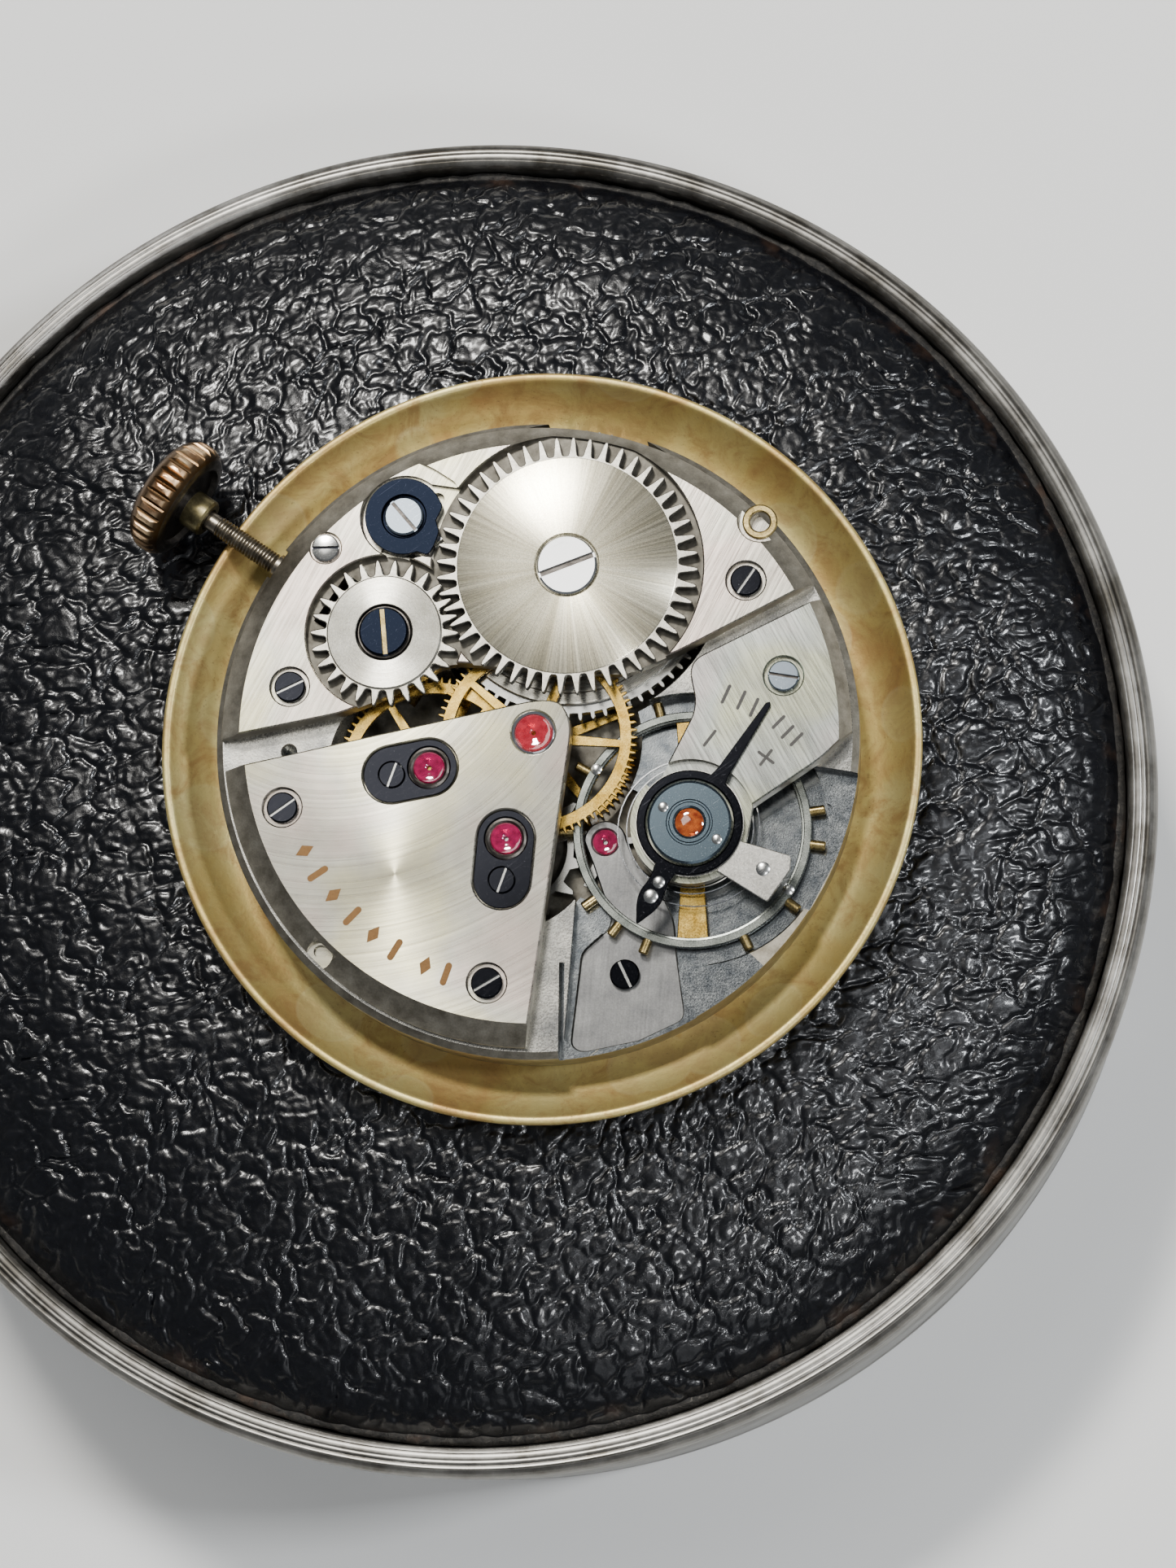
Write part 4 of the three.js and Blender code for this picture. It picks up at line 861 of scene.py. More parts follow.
def disc_grid(steps):
    """Points of a square grid drawn out to a disc of radius 1, ring-shaped near its edge"""
    line = np.linspace(-1, 1, steps + 1)
    a, b = np.meshgrid(line, line, indexing="ij")
    a, b = a.ravel(), b.ravel()
    wide = np.abs(a) >= np.abs(b)
    big = np.where(wide, a, b)
    small = np.where(wide, b, a)
    with np.errstate(divide="ignore", invalid="ignore"):
        angle = math.pi / 4 * np.where(big == 0, 0.0, small / big)
    x = np.where(wide, big * np.cos(angle), big * np.sin(angle))
    y = np.where(wide, big * np.sin(angle), big * np.cos(angle))
    return np.stack([x, y], axis=1)


def grid_faces(steps):
    side = steps + 1
    corners = [i * side + j for i in range(steps) for j in range(steps)]
    return [(k, k + side, k + side + 1, k + 1) for k in corners]


def grid_border(steps):
    side = steps + 1
    forth = [i * side for i in range(steps)] + [steps * side + j for j in range(steps)]
    return forth + [i * side + steps for i in range(steps, 0, -1)] + list(range(steps, 0, -1))


def pad_heights(flat, share):
    """The leather's top, pressed flatter under the dial and hollowed where the centre posts stand"""
    away = np.linalg.norm(flat - np.array([MOVEMENT.x, MOVEMENT.y]), axis=1)
    hollow = 0.9 * np.exp(-(away / 1.5) ** 4)
    under_dial = 1 / (1 + np.exp((away - 14.6) * 2.2))
    edge = np.clip((1 - share) / 0.03, 0, 1)
    height = crown_height(np.minimum(share, 0.9995) * PAD_RADIUS)
    z = height + leather_relief(flat) * edge * (1 - 0.6 * under_dial) - 0.06 - hollow
    return np.minimum(z, PAD_TOP + 0.2 * (1 - under_dial))


def make_leather_pad():
    unit = disc_grid(PAD_GRID)
    flat = unit * PAD_RADIUS
    heights = pad_heights(flat, np.linalg.norm(unit, axis=1))
    points = [tuple(p) for p in np.column_stack([flat, heights])]
    faces = grid_faces(PAD_GRID)
    inner = PAD_RADIUS - LEATHER
    section = [(PAD_RADIUS, PAD_EDGE - 1.5), (PAD_RADIUS, PAD_FOOT), (inner, PAD_FOOT)]
    for share in (0.99, 0.9, 0.7, 0.4, 0.15):
        section.append((share * inner, float(crown_height(share * PAD_RADIUS)) - LEATHER))
    last = border = grid_border(PAD_GRID)
    for r, level in section:
        ring = list(range(len(points), len(points) + len(border)))
        points += [(unit[k][0] * r, unit[k][1] * r, level) for k in border]
        faces += list(zip(last, ring, ring[1:] + ring[:1], last[1:] + last[:1]))
        last = ring
    middle = len(points)
    points.append((0, 0, PAD_TOP - LEATHER - 1.0))
    faces += [(k, middle, after) for k, after in zip(last, last[1:] + last[:1])]
    pad = piece("leather_pad", outward(points, faces), "holder", "black_leather", "leather_cover", crease=85)


def make_hem_band():
    """The folded edge of the leather where it is tucked into the ring"""
    around, rows = 900, 9
    spots = np.array([polar(CENTRE, 27, 360 * i / around) for i in range(around)])
    points, faces = [], []
    for i, (wave, ripple) in enumerate(zip(gradient_noise(spots, 2.4, 21), gradient_noise(spots, 0.8, 22))):
        for k in range(rows):
            turn = 2 * math.pi * k / rows
            r = RING_BORE - 0.37 + 0.04 * wave + (0.31 + 0.06 * ripple) * math.cos(turn)
            z = PAD_EDGE + 0.3 + 0.12 * wave + (0.4 + 0.14 * ripple) * math.sin(turn)
            points.append((*polar(CENTRE, r, 360 * i / around), z))
        faces += band(i * rows, (i + 1) % around * rows, rows)
    solid = outward(points, faces)
    piece("leather_hem_fold", solid, "holder", "leather_hem", slot="black_leather", crease=60)


# ---- Dial and main plate ----

def make_dial():
    profile = [
        (1.0, -0.4), (12.9, -0.4), (13.6, -0.24), (14.3, 0.1), (14.95, 0.6), (15.19, 0.93), (15.25, 1.02),
        (15.25, 1.2), (15.22, 1.27), (15.14, 1.3), (15.0, 1.3), (14.93, 1.26), (14.86, 1.18), (14.5, 0.83),
        (14.0, 0.48), (13.5, 0.2), (12.9, 0.0), (1.0, 0.0),
    ]
    part("dial_pan", lathe(profile, 240), "dial_brass", "dial", crease=50)


def pallet_bridge_outline():
    return rounded(arc(PALLET, 0.85, 175, 5, 16) + [
        (3.75, -4.6), (4.0, -5.1), (4.65, -5.65, 0.3), (5.4, -7.2, 0.4), (5.5, -8.6), (5.85, -11.2, 0.4),
        (4.0, -12.05), (1.75, -12.5, 0.4), (1.3, -12.2, 0.3), (1.75, -8.5, 0.3), (3.0, -7.4, 0.5),
        (2.2, -5.0),
    ])


def plate_wells():
    """The sinks that the wheels turn in"""
    sinks = ((BARREL, 6.15, 96), (CENTRE, 4.15, 72), (THIRD, 4.15, 72), (ESCAPE, 3.45, 64))
    return [bore(axis, r, WEB_TOP, BRIDGE_BOTTOM, segments) for axis, r, segments in sinks] + [
        disc(PALLET, 2.4, FORK_FLOOR, ABOVE, 48),
        bore(BALANCE, 5.4, BALANCE_FLOOR, OPEN_PLATE_TOP, 96),
        disc(BALANCE, 5.4, BALANCE_FLOOR + 0.2, ABOVE, 96),
        disc(BALANCE, 1.25, FORK_FLOOR, ABOVE, 32),
        prism(bar_outline(PALLET, BALANCE, 1.5), FORK_FLOOR, ABOVE),  # the fork's way to the balance
    ]


def plate_lowering():
    """The lower sector under the balance, the pallet bridge's seat, blind holes and a groove"""
    sector = [(1.0, -13.5), (1.9, -2.5), (4.0, 0.5), (6.6, -0.6), (13.5, -1.75), (13.5, -13.5)]
    raised = rounded([(6.05, -9.3, 0.2), (8.2, -8.7), (10.6, -6.9, 0.2), (12.0, -8.0), (6.4, -12.0)])
    return [
        prism(sector, OPEN_PLATE_TOP - 0.3, ABOVE, [raised]),
        prism(sector, OPEN_PLATE_TOP, ABOVE),
        prism(pallet_bridge_outline(), PALLET_BRIDGE_BOTTOM - 0.02, ABOVE),
        bore((-9.85, -0.45), 0.28, 1.6, BRIDGE_BOTTOM, 24),
        bore((11.4, -3.0), 0.3, 1.7, OPEN_PLATE_TOP - 0.14, 20),
        bore((9.4, -9.6), 0.22, 1.7, OPEN_PLATE_TOP, 20),
        prism(bar_outline((1.0, -13.0), (1.05, -9.0), 0.22), 1.75, ABOVE),
    ]


def plate_openings():
    """The keyless works' channel, and the holes of screws and pivots"""
    channel = (  # start, end, width, floor and top
        (5.1, 10.5, 3.1, -1, ABOVE),
        (10.2, 14, 1.3, WEB_TOP + 0.4, ABOVE),
        (10.5, 12.45, 1.3, -1, WEB_TOP + 0.5),
    )
    cuts = []
    for start, end, width, low, high in channel:
        cuts.append(prism(bar_outline(on_stem(start), on_stem(end), width), low, high))
    cuts.append(disc(LEVER_SCREW, SCREW_BORE, -1, ABOVE, 16))
    places = [at for at, _ in BRIDGE_SCREWS.values()] + [PALLET_SCREW]
    cuts += [disc(at, SCREW_BORE, 1, ABOVE, 20) for at in places]
    cuts += [disc(CENTRE, 0.5, -1, ABOVE, 24), disc(BARREL, 0.58, -1, ABOVE, 24)]  # wide arbors
    return cuts + [disc(axis, 0.2, -1, ABOVE, 16) for axis in (THIRD, ESCAPE, PALLET, BALANCE)]


def plate_face(spot, normal):
    """Picks tarnish with painted shade (3) round the rim, dark painted shade (2) in the wells and bluish (1)
    under the balance.
    """
    if math.hypot(spot[0], spot[1]) > PLATE_RADIUS - 0.3 and normal[2] > -0.5:
        return 3
    if normal[2] < 0.5 or spot[2] < WEB_BOTTOM + 0.1:
        return 0
    return 2 if spot[2] < BALANCE_FLOOR - 0.1 else 1 if spot[2] < OPEN_PLATE_TOP + 0.05 else 0


def make_main_plate():
    profile = [(0, WEB_BOTTOM), (11.97, WEB_BOTTOM), (11.97, 0), (PLATE_RADIUS, 0)]
    profile += [(PLATE_RADIUS, BRIDGE_BOTTOM - 0.2), (PLATE_RADIUS - 0.28, BRIDGE_BOTTOM), (0, BRIDGE_BOTTOM)]
    solid = combined(lathe(profile, 180), cut=plate_wells() + plate_lowering() + plate_openings())
    paints = ("plate_nickel", "plate_blue", "recess_painted_shade", "tarnish_and_shade_edge")
    part("main_plate_machined", solid, paints, "main_plate", pick=plate_face)


# ---- Bridges ----

SNAIL_CENTRE = (-8.0, 5.0)
MARK_RADIUS = 10.12
MARK_ANGLES = (250.4, 245.4, 237.7, 231.7, 225.4, 219.0, 213.0, 207.0)
ENGRAVED = BRIDGE_TOP - 0.05


def screw_seats(*names):
    cuts = []
    for at in [BRIDGE_SCREWS[name][0] for name in names]:
        cuts += [bore(at, 0.77, HEAD_FLOOR, BRIDGE_TOP, 40), disc(at, SCREW_BORE, 0, HEAD_FLOOR + 0.1, 20)]
    return cuts


def make_bridge(name, node, paints, outline, cuts, top, edge, axis=CENTRE):
    """A bridge of any outline from a blank whose rim slopes in from the radius edge to top. Its picker gives
    the bevel and upright walls the second paint, a darker one that is part tarnish and part painted shade,
    and the floors under the wheels the third, a dark painted shade."""
    def pick(spot, normal):
        outside = math.hypot(spot[0], spot[1]) > top - 0.3 and 0.1 < normal[2] < 0.95
        # upright walls and the outer bevel take the darker paint, part tarnish and part painted shade
        upright = abs(normal[2]) < 0.3 and spot[2] < BRIDGE_TOP - 0.1
        # the floors under the wheels take the dark painted shade
        if abs(spot[2] - RECESS_FLOOR) < 0.01 and normal[2] > 0.9:
            return 2
        return 1 if outside or upright else 0
    profile = [(0, BRIDGE_BOTTOM), (edge, BRIDGE_BOTTOM), (edge, 3.0), (edge - 0.02, 3.03), (top, BRIDGE_TOP)]
    blank = lathe(profile + [(0, BRIDGE_TOP)], 240)
    solid = combined(blank, keep=[prism(outline, 0, BRIDGE_TOP, bevel=EDGE)], cut=cuts)
    part(name, solid, paints, node, axis, pick=pick)


def click_spring_groove():
    start, bend, end = (-6.1, 7.75), (-4.6, 7.45), (-3.75, 8.05)
    channels = [prism(bar_outline(*ends, 0.6), 2.95, ABOVE) for ends in ((start, bend), (bend, end))]
    return channels + [disc(bend, 0.3, 2.95, ABOVE, 20)]


def make_barrel_bridge():
    outline = rounded([
        (-13.5, -0.2), (-7.7, 0.9, 0.4), (-6.1, 1.5, 0.5), (-3.4, 2.9, 0.6), (3.6, 2.3, 0.5),
        (5.8, 3.2), (13.5, 7.1), (13.5, 13.5), (-13.5, 13.5),
    ])
    milled = [(-6.3, 10.4, 0.3), (-5.5, 11.25, 0.3), (-4.2, 10.9, 0.4), (-3.0, 10.1, 0.3)]
    milled += [(-3.4, 9.2), (-5.5, 9.6)]
    ratchet_recess = bore(BARREL, 5.4, RECESS_FLOOR, BRIDGE_TOP, 120)
    cuts = [
        combined(ratchet_recess, keep=[disc(CENTRE, 12.08, 0, ABOVE, 180)]),
        disc(BARREL, 0.75, 0, ABOVE, 32),  # the barrel arbor's hole
        bore(CROWN_WHEEL, 3.15, RECESS_FLOOR, BRIDGE_TOP, 90),
        disc(CROWN_WHEEL, 0.33, 0, ABOVE, 20),
        prism(bar_outline(on_stem(8.1), on_stem(9.95), 2.3), 0, ABOVE),  # the pinion's window
        bore(CLICK, 1.72, CLICK_FLOOR, BRIDGE_TOP, 64),
        prism(bar_outline(CLICK, (-2.6, 8.4), 3.0), CLICK_FLOOR, ABOVE),
        prism(rounded(milled), 3.42, ABOVE),
        disc(CLICK, SCREW_BORE, 0, ABOVE, 20),
        *click_spring_groove(),
        bore(EYELET, 0.85, 3.3, BRIDGE_TOP, 48),
        bore(EYELET, 0.38, 2.9, 3.3, 28),
        bore((-3.88, 9.58), 0.28, 2.9, 3.42, 24),  # a small hole beside the click
        bore(LEVER_SCREW, 0.62, BRIDGE_TOP - 0.12, BRIDGE_TOP, 32),
        disc(LEVER_SCREW, SCREW_BORE, 0, ABOVE, 20),
        *screw_seats("barrel_bridge_screw_left", "barrel_bridge_screw_right"),
    ]
    paints = ("barrel_bridge_nickel", "tarnish_and_shade_edge", "recess_painted_shade")
    make_bridge("barrel_bridge_brushed", "barrel_bridge", paints, outline, cuts, 11.7, 12.5)
    washer = lathe([(0.4, 3.28), (0.7, 3.28), (0.7, 3.36), (0.64, 3.4), (0.46, 3.4), (0.4, 3.36)], 36, EYELET)
    part("barrel_bridge_eyelet", washer, "screw_brass", axis=EYELET, slot="gilt_brass")


def make_train_bridge():
    outline = rounded([(-13.5, -1.52), (0.9, 1.48, 1.5), (1.55, 0.4, 0.9), (-0.5, -13.5), (-13.5, -13.5)])
    cuts = [disc(CENTRE, 0.2, 0, ABOVE, 20), bore(CENTRE, 0.87, 3.1, BRIDGE_TOP, 48)]  # the centre jewel
    for stone, fixing in CAPS.values():
        cuts.append(slot_cutter(stadium(stone, fixing, CAP_RADIUS + 0.04), CAP_FLOOR, BRIDGE_TOP))
        cuts += [disc(stone, 0.2, 0, ABOVE, 20), disc(fixing, 0.22, 2.8, ABOVE, 20)]
    cuts += screw_seats("train_bridge_screw_upper", "train_bridge_screw_lower")
    cuts.append(bore(polar(CENTRE, 12.1, 225.7), 0.55, 2.95, 3.35, 40))  # a sunk pin hole in the bevel
    cuts.append(disc(polar(CENTRE, 12.0, 225.2), 0.26, 2.7, ABOVE, 24))
    paints = ("train_bridge_nickel", "tarnish_and_shade_edge")
    make_bridge("train_bridge_snailed", "train_bridge", paints, outline, cuts, 11.5, 12.4, SNAIL_CENTRE)


def make_gold_marks():
    """Filled engraving along an arc: plain bars and lozenges that spell nothing"""
    marks = []
    for i, angle in enumerate(MARK_ANGLES):
        middle = polar(CENTRE, MARK_RADIUS, angle)
        lozenge = [polar(middle, reach, angle + 90 * k) for k, reach in enumerate((0.4, 0.24, 0.4, 0.24))]
        bar = stadium(polar(middle, -0.34, angle), polar(middle, 0.34, angle), 0.13, 8)
        marks.append(prism(lozenge if i % 2 else bar, ENGRAVED, BRIDGE_TOP + 0.012))
    part("train_bridge_gold_marks", merged(*marks), "gold_fill", slot="worn_gold")


def make_balance_cock():
    outline = rounded(
        [(13.5, 6.3), (6.1, 2.72, 0.7), (6.45, 0.9, 0.6), (4.75, -2.4)]
        + arc(BALANCE, COCK_END, 137, 335, 40)
        + [(8.6, -3.0), (11.3, -1.2, 0.5), (13.5, 0.9)]
    )
    cuts = [
        disc(BALANCE, COCK_END + 0.2, CARRIER_BOTTOM - 0.02, ABOVE, 90),  # room for the stud carrier
        disc(BALANCE, 1.28, 0, ABOVE, 40),  # the shock setting's hole
        prism(bar_outline((7.75, 4.1), (8.6, 4.3), 0.7), 3.0, ABOVE),  # a notch in the upper edge
        *screw_seats("balance_cock_screw"),
    ]
    paints = ("balance_cock_nickel", "tarnish_and_shade_edge")
    make_bridge("balance_cock_brushed", "balance_cock", paints, outline, cuts, 12.0, 12.5)


def make_regulator_scale():
    """Engraved ticks, a plus and a minus"""
    plus, minus = (9.15, -1.15), (6.95, -0.35)
    strokes = [(at, 65, 0.7, 0.13) for at in ((7.6, 1.4), (8.2, 1.15), (8.7, 0.85))]
    strokes += [(at, 45, 0.6, 0.13) for at in ((9.65, 0.25), (10.0, -0.15), (10.35, -0.45))]
    strokes += [(plus, 52, 0.7, 0.12), (minus, 52, 0.7, 0.12)]
    strokes += [(polar(plus, 0.225, aim), aim, 0.25, 0.12) for aim in (142, -38)]
    solids = []
    for middle, aim, length, width in strokes:
        ends = [polar(middle, reach, aim) for reach in (-length / 2, length / 2)]
        solids.append(prism(stadium(*ends, width / 2, 6), ENGRAVED, BRIDGE_TOP + 0.006))
    part("balance_cock_scale", merged(*solids), "engraved_line", slot="dark_steel")


def make_pallet_bridge():
    cuts = [
        bore(PALLET, 0.52, PALLET_BRIDGE_BOTTOM + 0.08, PALLET_BRIDGE_TOP, 36),
        disc(PALLET, 0.15, 0, ABOVE, 16),
        disc(PALLET_SCREW, SCREW_BORE, 0, ABOVE, 20),
    ]
    blank = prism(pallet_bridge_outline(), PALLET_BRIDGE_BOTTOM, PALLET_BRIDGE_TOP, bevel=EDGE)
    part("pallet_bridge_brushed", combined(blank, cut=cuts), "grey_nickel", "pallet_bridge")


# ---- Screws ----

BLACK = ("black_polished_steel", "satin_steel")
BLUE_GREY = ("blue_grey_steel", "dark_steel")
CAP_TOP = BRIDGE_TOP - 0.04


def fit_screw(name, at, aim, head, shank, levels, paints, body="movement", slot="polished_steel",
              depth=0.12, crown=0.0):
    """A screw whose slot lies at the angle aim, and the floor of that slot. head and shank are radii, and
    levels those of the foot, the head's seat and its top. crown is how much its middle stands up."""
    foot, seat, top = levels
    bevel = min(0.07, head * 0.1)
    profile = [(0, foot), (shank * 0.7, foot), (shank, foot + 0.12), (shank, seat), (head - 0.02, seat)]
    profile += [(head, seat + 0.02), (head, top - bevel), (head - bevel, top)]
    profile += [(head * 0.6, top + crown * 0.6), (head * 0.3, top + crown * 0.9), (0, top + crown)]
    opening = prism(bar_through(at, head + 0.5, aim, head * 0.2), top - depth, top + 1)
    part(name + "_polished", combined(lathe(profile, 48, at), cut=[opening]), paints[0], name, at, body)
    floor = prism(bar_through(at, head * 0.93, aim, head * 0.18), top - depth - 0.03, top - depth + 0.012)
    part(name + "_slot", floor, paints[1], axis=at, body=body, slot=slot)


def make_bridge_screws():
    for name, (at, aim) in BRIDGE_SCREWS.items():
        paints = BLUE_GREY if name == "balance_cock_screw" else BLACK
        fit_screw(name, at, aim, 0.62, 0.28, (1.3, HEAD_FLOOR + 0.03, 3.64), paints)
    seat = PALLET_BRIDGE_TOP + 0.02
    fit_screw("pallet_bridge_screw", PALLET_SCREW, -65, 0.59, 0.25, (1.1, seat, seat + 0.22), BLACK)
    paints = ("satin_steel", "black_polished_steel")
    levels = (WEB_BOTTOM, BRIDGE_TOP - 0.1, BRIDGE_TOP + 0.08)
    look = {"slot": "dark_steel", "crown": 0.05}
    fit_screw("setting_lever_screw", LEVER_SCREW, 0, 0.55, 0.25, levels, paints, **look)


# ---- Jewels and cap plates ----

def jewel(at, r, bottom, top, sink=0.07):
    """A cup that holds oil, with a pierced middle"""
    profile = [(0.09, bottom), (r, bottom), (r, top - 0.05), (r - 0.05, top), (r * 0.72, top - 0.01)]
    profile += [(r * 0.55, top - sink * 0.5), (r * 0.35, top - sink), (0.14, top - sink - 0.015)]
    return lathe(profile + [(0.09, top - sink - 0.05)], 48, at)


def setting(at, inner, outer, bottom, top):
    """The thin ring that holds a jewel"""
    middle = (inner + outer) / 2
    profile = [(inner, bottom), (outer, bottom), (outer, top - 0.03), (middle, top), (inner, top - 0.06)]
    return lathe(profile, 48, at)


def make_jewels():
    for name, (at, fixing) in CAPS.items():
        cuts = [
            bore(at, 0.82, CAP_FLOOR - 0.1, CAP_TOP, 48),
            disc(fixing, 0.56, CAP_TOP - 0.1, ABOVE, 40),
            disc(fixing, 0.22, 0, ABOVE, 20),
        ]
        blank = prism(stadium(at, fixing, CAP_RADIUS), CAP_FLOOR + 0.02, CAP_TOP, bevel=0.03)
        plate = combined(blank, cut=cuts)
        part(name + "_cap_plate_polished", plate, "black_polished_steel", name + "_cap_plate", at)
        ring = setting(at, 0.63, 0.81, CAP_FLOOR + 0.02, CAP_TOP - 0.04)
        part(name + "_jewel_setting", ring, "dark_steel", axis=at, slot="dark_steel")
        stone = jewel(at, 0.62, CAP_FLOOR + 0.04, CAP_TOP - 0.02)
        part(name + "_jewel_cut", stone, "ruby", name + "_jewel", at, crease=40)
        levels = (2.9, CAP_TOP - 0.08, CAP_TOP + 0.04)
        fit_screw(name + "_cap_screw", fixing, 70, 0.53, 0.18, levels, BLACK, depth=0.08)
    ring = setting(CENTRE, 0.73, 0.85, 3.12, BRIDGE_TOP - 0.01)
    part("centre_jewel_setting", ring, "polished_steel", slot="polished_steel")
    stone = jewel(CENTRE, 0.72, 3.12, BRIDGE_TOP - 0.05)
    part("centre_jewel_cut", stone, "red_ruby", "centre_jewel", crease=40)
    stone = jewel(PALLET, 0.5, PALLET_BRIDGE_BOTTOM + 0.1, PALLET_BRIDGE_TOP, 0.05)
    part("pallet_jewel_cut", stone, "ruby", "pallet_jewel", PALLET, crease=40)


# ---- Winding wheels and barrel ----

RATCHET_TEETH = 48
CROWN_TEETH = 26
BARREL_TEETH = 72
CENTRE_PINION = 12
BARREL_PITCH = math.dist(CENTRE, BARREL) * BARREL_TEETH / (BARREL_TEETH + CENTRE_PINION)


def flat_disc_or_teeth(centre, radius):
    """Picks the face inside the teeth (0), flanks (1) or tops of the teeth (2)."""
    def pick(spot, normal):
        if normal[2] < 0.5:
            return 1
        return 0 if math.dist(spot[:2], centre) < radius else 2
    return pick


def make_ratchet_wheel():
    ring = winding_teeth(BARREL, RATCHET_TEETH, 5.2, 4.45, bearing(BARREL, CROWN_WHEEL))
    wheel = prism(ring, WINDING_BOTTOM, WINDING_TOP - 0.05, bevel=0.03)
    profile = [(0, 3.3), (4.38, 3.3), (4.38, WINDING_TOP - 0.02), (4.34, WINDING_TOP), (0, WINDING_TOP)]
    square = prism(bar_through(BARREL, 0.54, 0, 1.08), 0, ABOVE)
    cuts = [bore(BARREL, 1.25, 3.5, WINDING_TOP, 64), square]
    solid = combined(wheel, join=[lathe(profile, 160, BARREL)], cut=cuts)
    paints = ("sunray_nickel", "tooth_steel", "tooth_tops")
    pick = flat_disc_or_teeth(BARREL, 4.36)
    part("ratchet_wheel_cut", solid, paints, "ratchet_wheel", BARREL, "ratchet", pick=pick)
    paints = ("polished_steel", "dark_steel")
    fit_screw("ratchet_screw", BARREL, 20, 1.19, 0.3, (3.0, 3.53, 3.78), paints, "ratchet", "dark_steel")


def make_crown_wheel():
    aim = bearing(CROWN_WHEEL, BARREL) + 180 / CROWN_TEETH
    ring = winding_teeth(CROWN_WHEEL, CROWN_TEETH, 2.97, 2.36, aim)
    wheel = prism(ring, WINDING_BOTTOM, WINDING_TOP - 0.1, bevel=0.04)
    profile = [(0, 3.3), (2.3, 3.3), (2.3, WINDING_TOP - 0.06), (2.24, WINDING_TOP), (1.2, WINDING_TOP)]
    profile.append((0, WINDING_TOP))
    opening = bore(CROWN_WHEEL, 1.13, 0, WINDING_TOP, 64, 0.03)
    solid = combined(wheel, join=[lathe(profile, 120, CROWN_WHEEL)], cut=[opening])
    paints = ("crown_wheel_nickel", "tooth_steel", "tooth_tops")
    pick = flat_disc_or_teeth(CROWN_WHEEL, 2.29)
    part("crown_wheel_cut", solid, paints, "crown_wheel", CROWN_WHEEL, "crown_wheel", pick=pick)
    core = lathe([(0.35, 3.22), (1.09, 3.22), (1.09, 3.6), (1.04, 3.66), (0.35, 3.66)], 64, CROWN_WHEEL)
    part("crown_wheel_core_turned", core, "dark_steel", "crown_wheel_core", CROWN_WHEEL)
    paints = ("blued_steel", "screw_brass")
    look = {"slot": "gilt_brass", "depth": 0.11}
    fit_screw("crown_wheel_screw", CROWN_WHEEL, -85, 0.98, 0.28, (2.65, 3.68, 3.88), paints, **look)


def make_click():
    x, y = CLICK
    outline = rounded(
        arc(CLICK, 1.56, 42, 290, 40)
        + [(x + 1.0, y - 1.62, 0.2), (x + 1.23, y - 1.2), (x + 1.43, y - 0.66, 0.15), (x + 1.29, y - 0.2)]
        + [(x + 1.5, y + 0.22), (x + 1.55, y + 0.42, 0.1), (x + 1.32, y + 0.85)]
    )
    cuts = [bore(CLICK, 0.86, 3.48, WINDING_TOP - 0.06, 48), disc(CLICK, 0.3, 0, ABOVE, 24)]
    solid = combined(prism(outline, WINDING_BOTTOM + 0.02, WINDING_TOP - 0.06, bevel=0.03), cut=cuts)
    part("click_blued", solid, "blued_steel", "click", CLICK, "click")
    levels = (BRIDGE_BOTTOM + 0.05, 3.51, 3.72)
    fit_screw("click_screw", CLICK, -50, 0.78, 0.26, levels, BLUE_GREY, slot="dark_steel", depth=0.11)


def make_barrel():
    aim = bearing(BARREL, CENTRE)
    ring = train_teeth(BARREL, BARREL_TEETH, BARREL_PITCH + 0.11, BARREL_PITCH - 0.18, aim)
    cuts = [disc(BARREL, 5.1, 1.15, ABOVE, 100), disc(BARREL, 0.78, 0, ABOVE, 32)]
    solid = combined(disc(BARREL, 5.35, 1.0, 2.0, 120), join=[prism(ring, 1.55, 1.95, bevel=0.03)], cut=cuts)
    part("barrel_drum_cut", solid, "satin_steel", "barrel_drum", BARREL, "barrel")
    profile = [(0.78, 2.02), (5.35, 2.02), (5.35, 2.11), (5.3, 2.15), (4.9, 2.15), (4.85, 2.12)]
    cover = lathe(profile + [(1.3, 2.12), (1.25, 2.15), (0.78, 2.15)], 120, BARREL)
    part("barrel_cover_turned", cover, "crown_wheel_nickel", "barrel_cover", BARREL, "barrel")


# ---- Going train ----

def pitch_radii(wheel_axis, pinion_axis, wheel_teeth, pinion_leaves):
    apart = math.dist(wheel_axis, pinion_axis)
    total = wheel_teeth + pinion_leaves
    return apart * wheel_teeth / total, apart * pinion_leaves / total


def train_wheel(axis, count, pitch, aim, spokes, bottom, top):
    ring = train_teeth(axis, count, pitch + 0.08, pitch - 0.15, aim)
    return prism(ring, bottom, top, spoke_windows(axis, 5, 0.95, pitch - 0.6, 0.3, spokes), bevel=0.02)


def pinion(axis, count, pitch, towards, bottom, top):
    ring = train_teeth(axis, count, pitch + 0.06, pitch - 0.14, towards + 180 / count)
    return prism(ring, bottom, top, bevel=0.02)


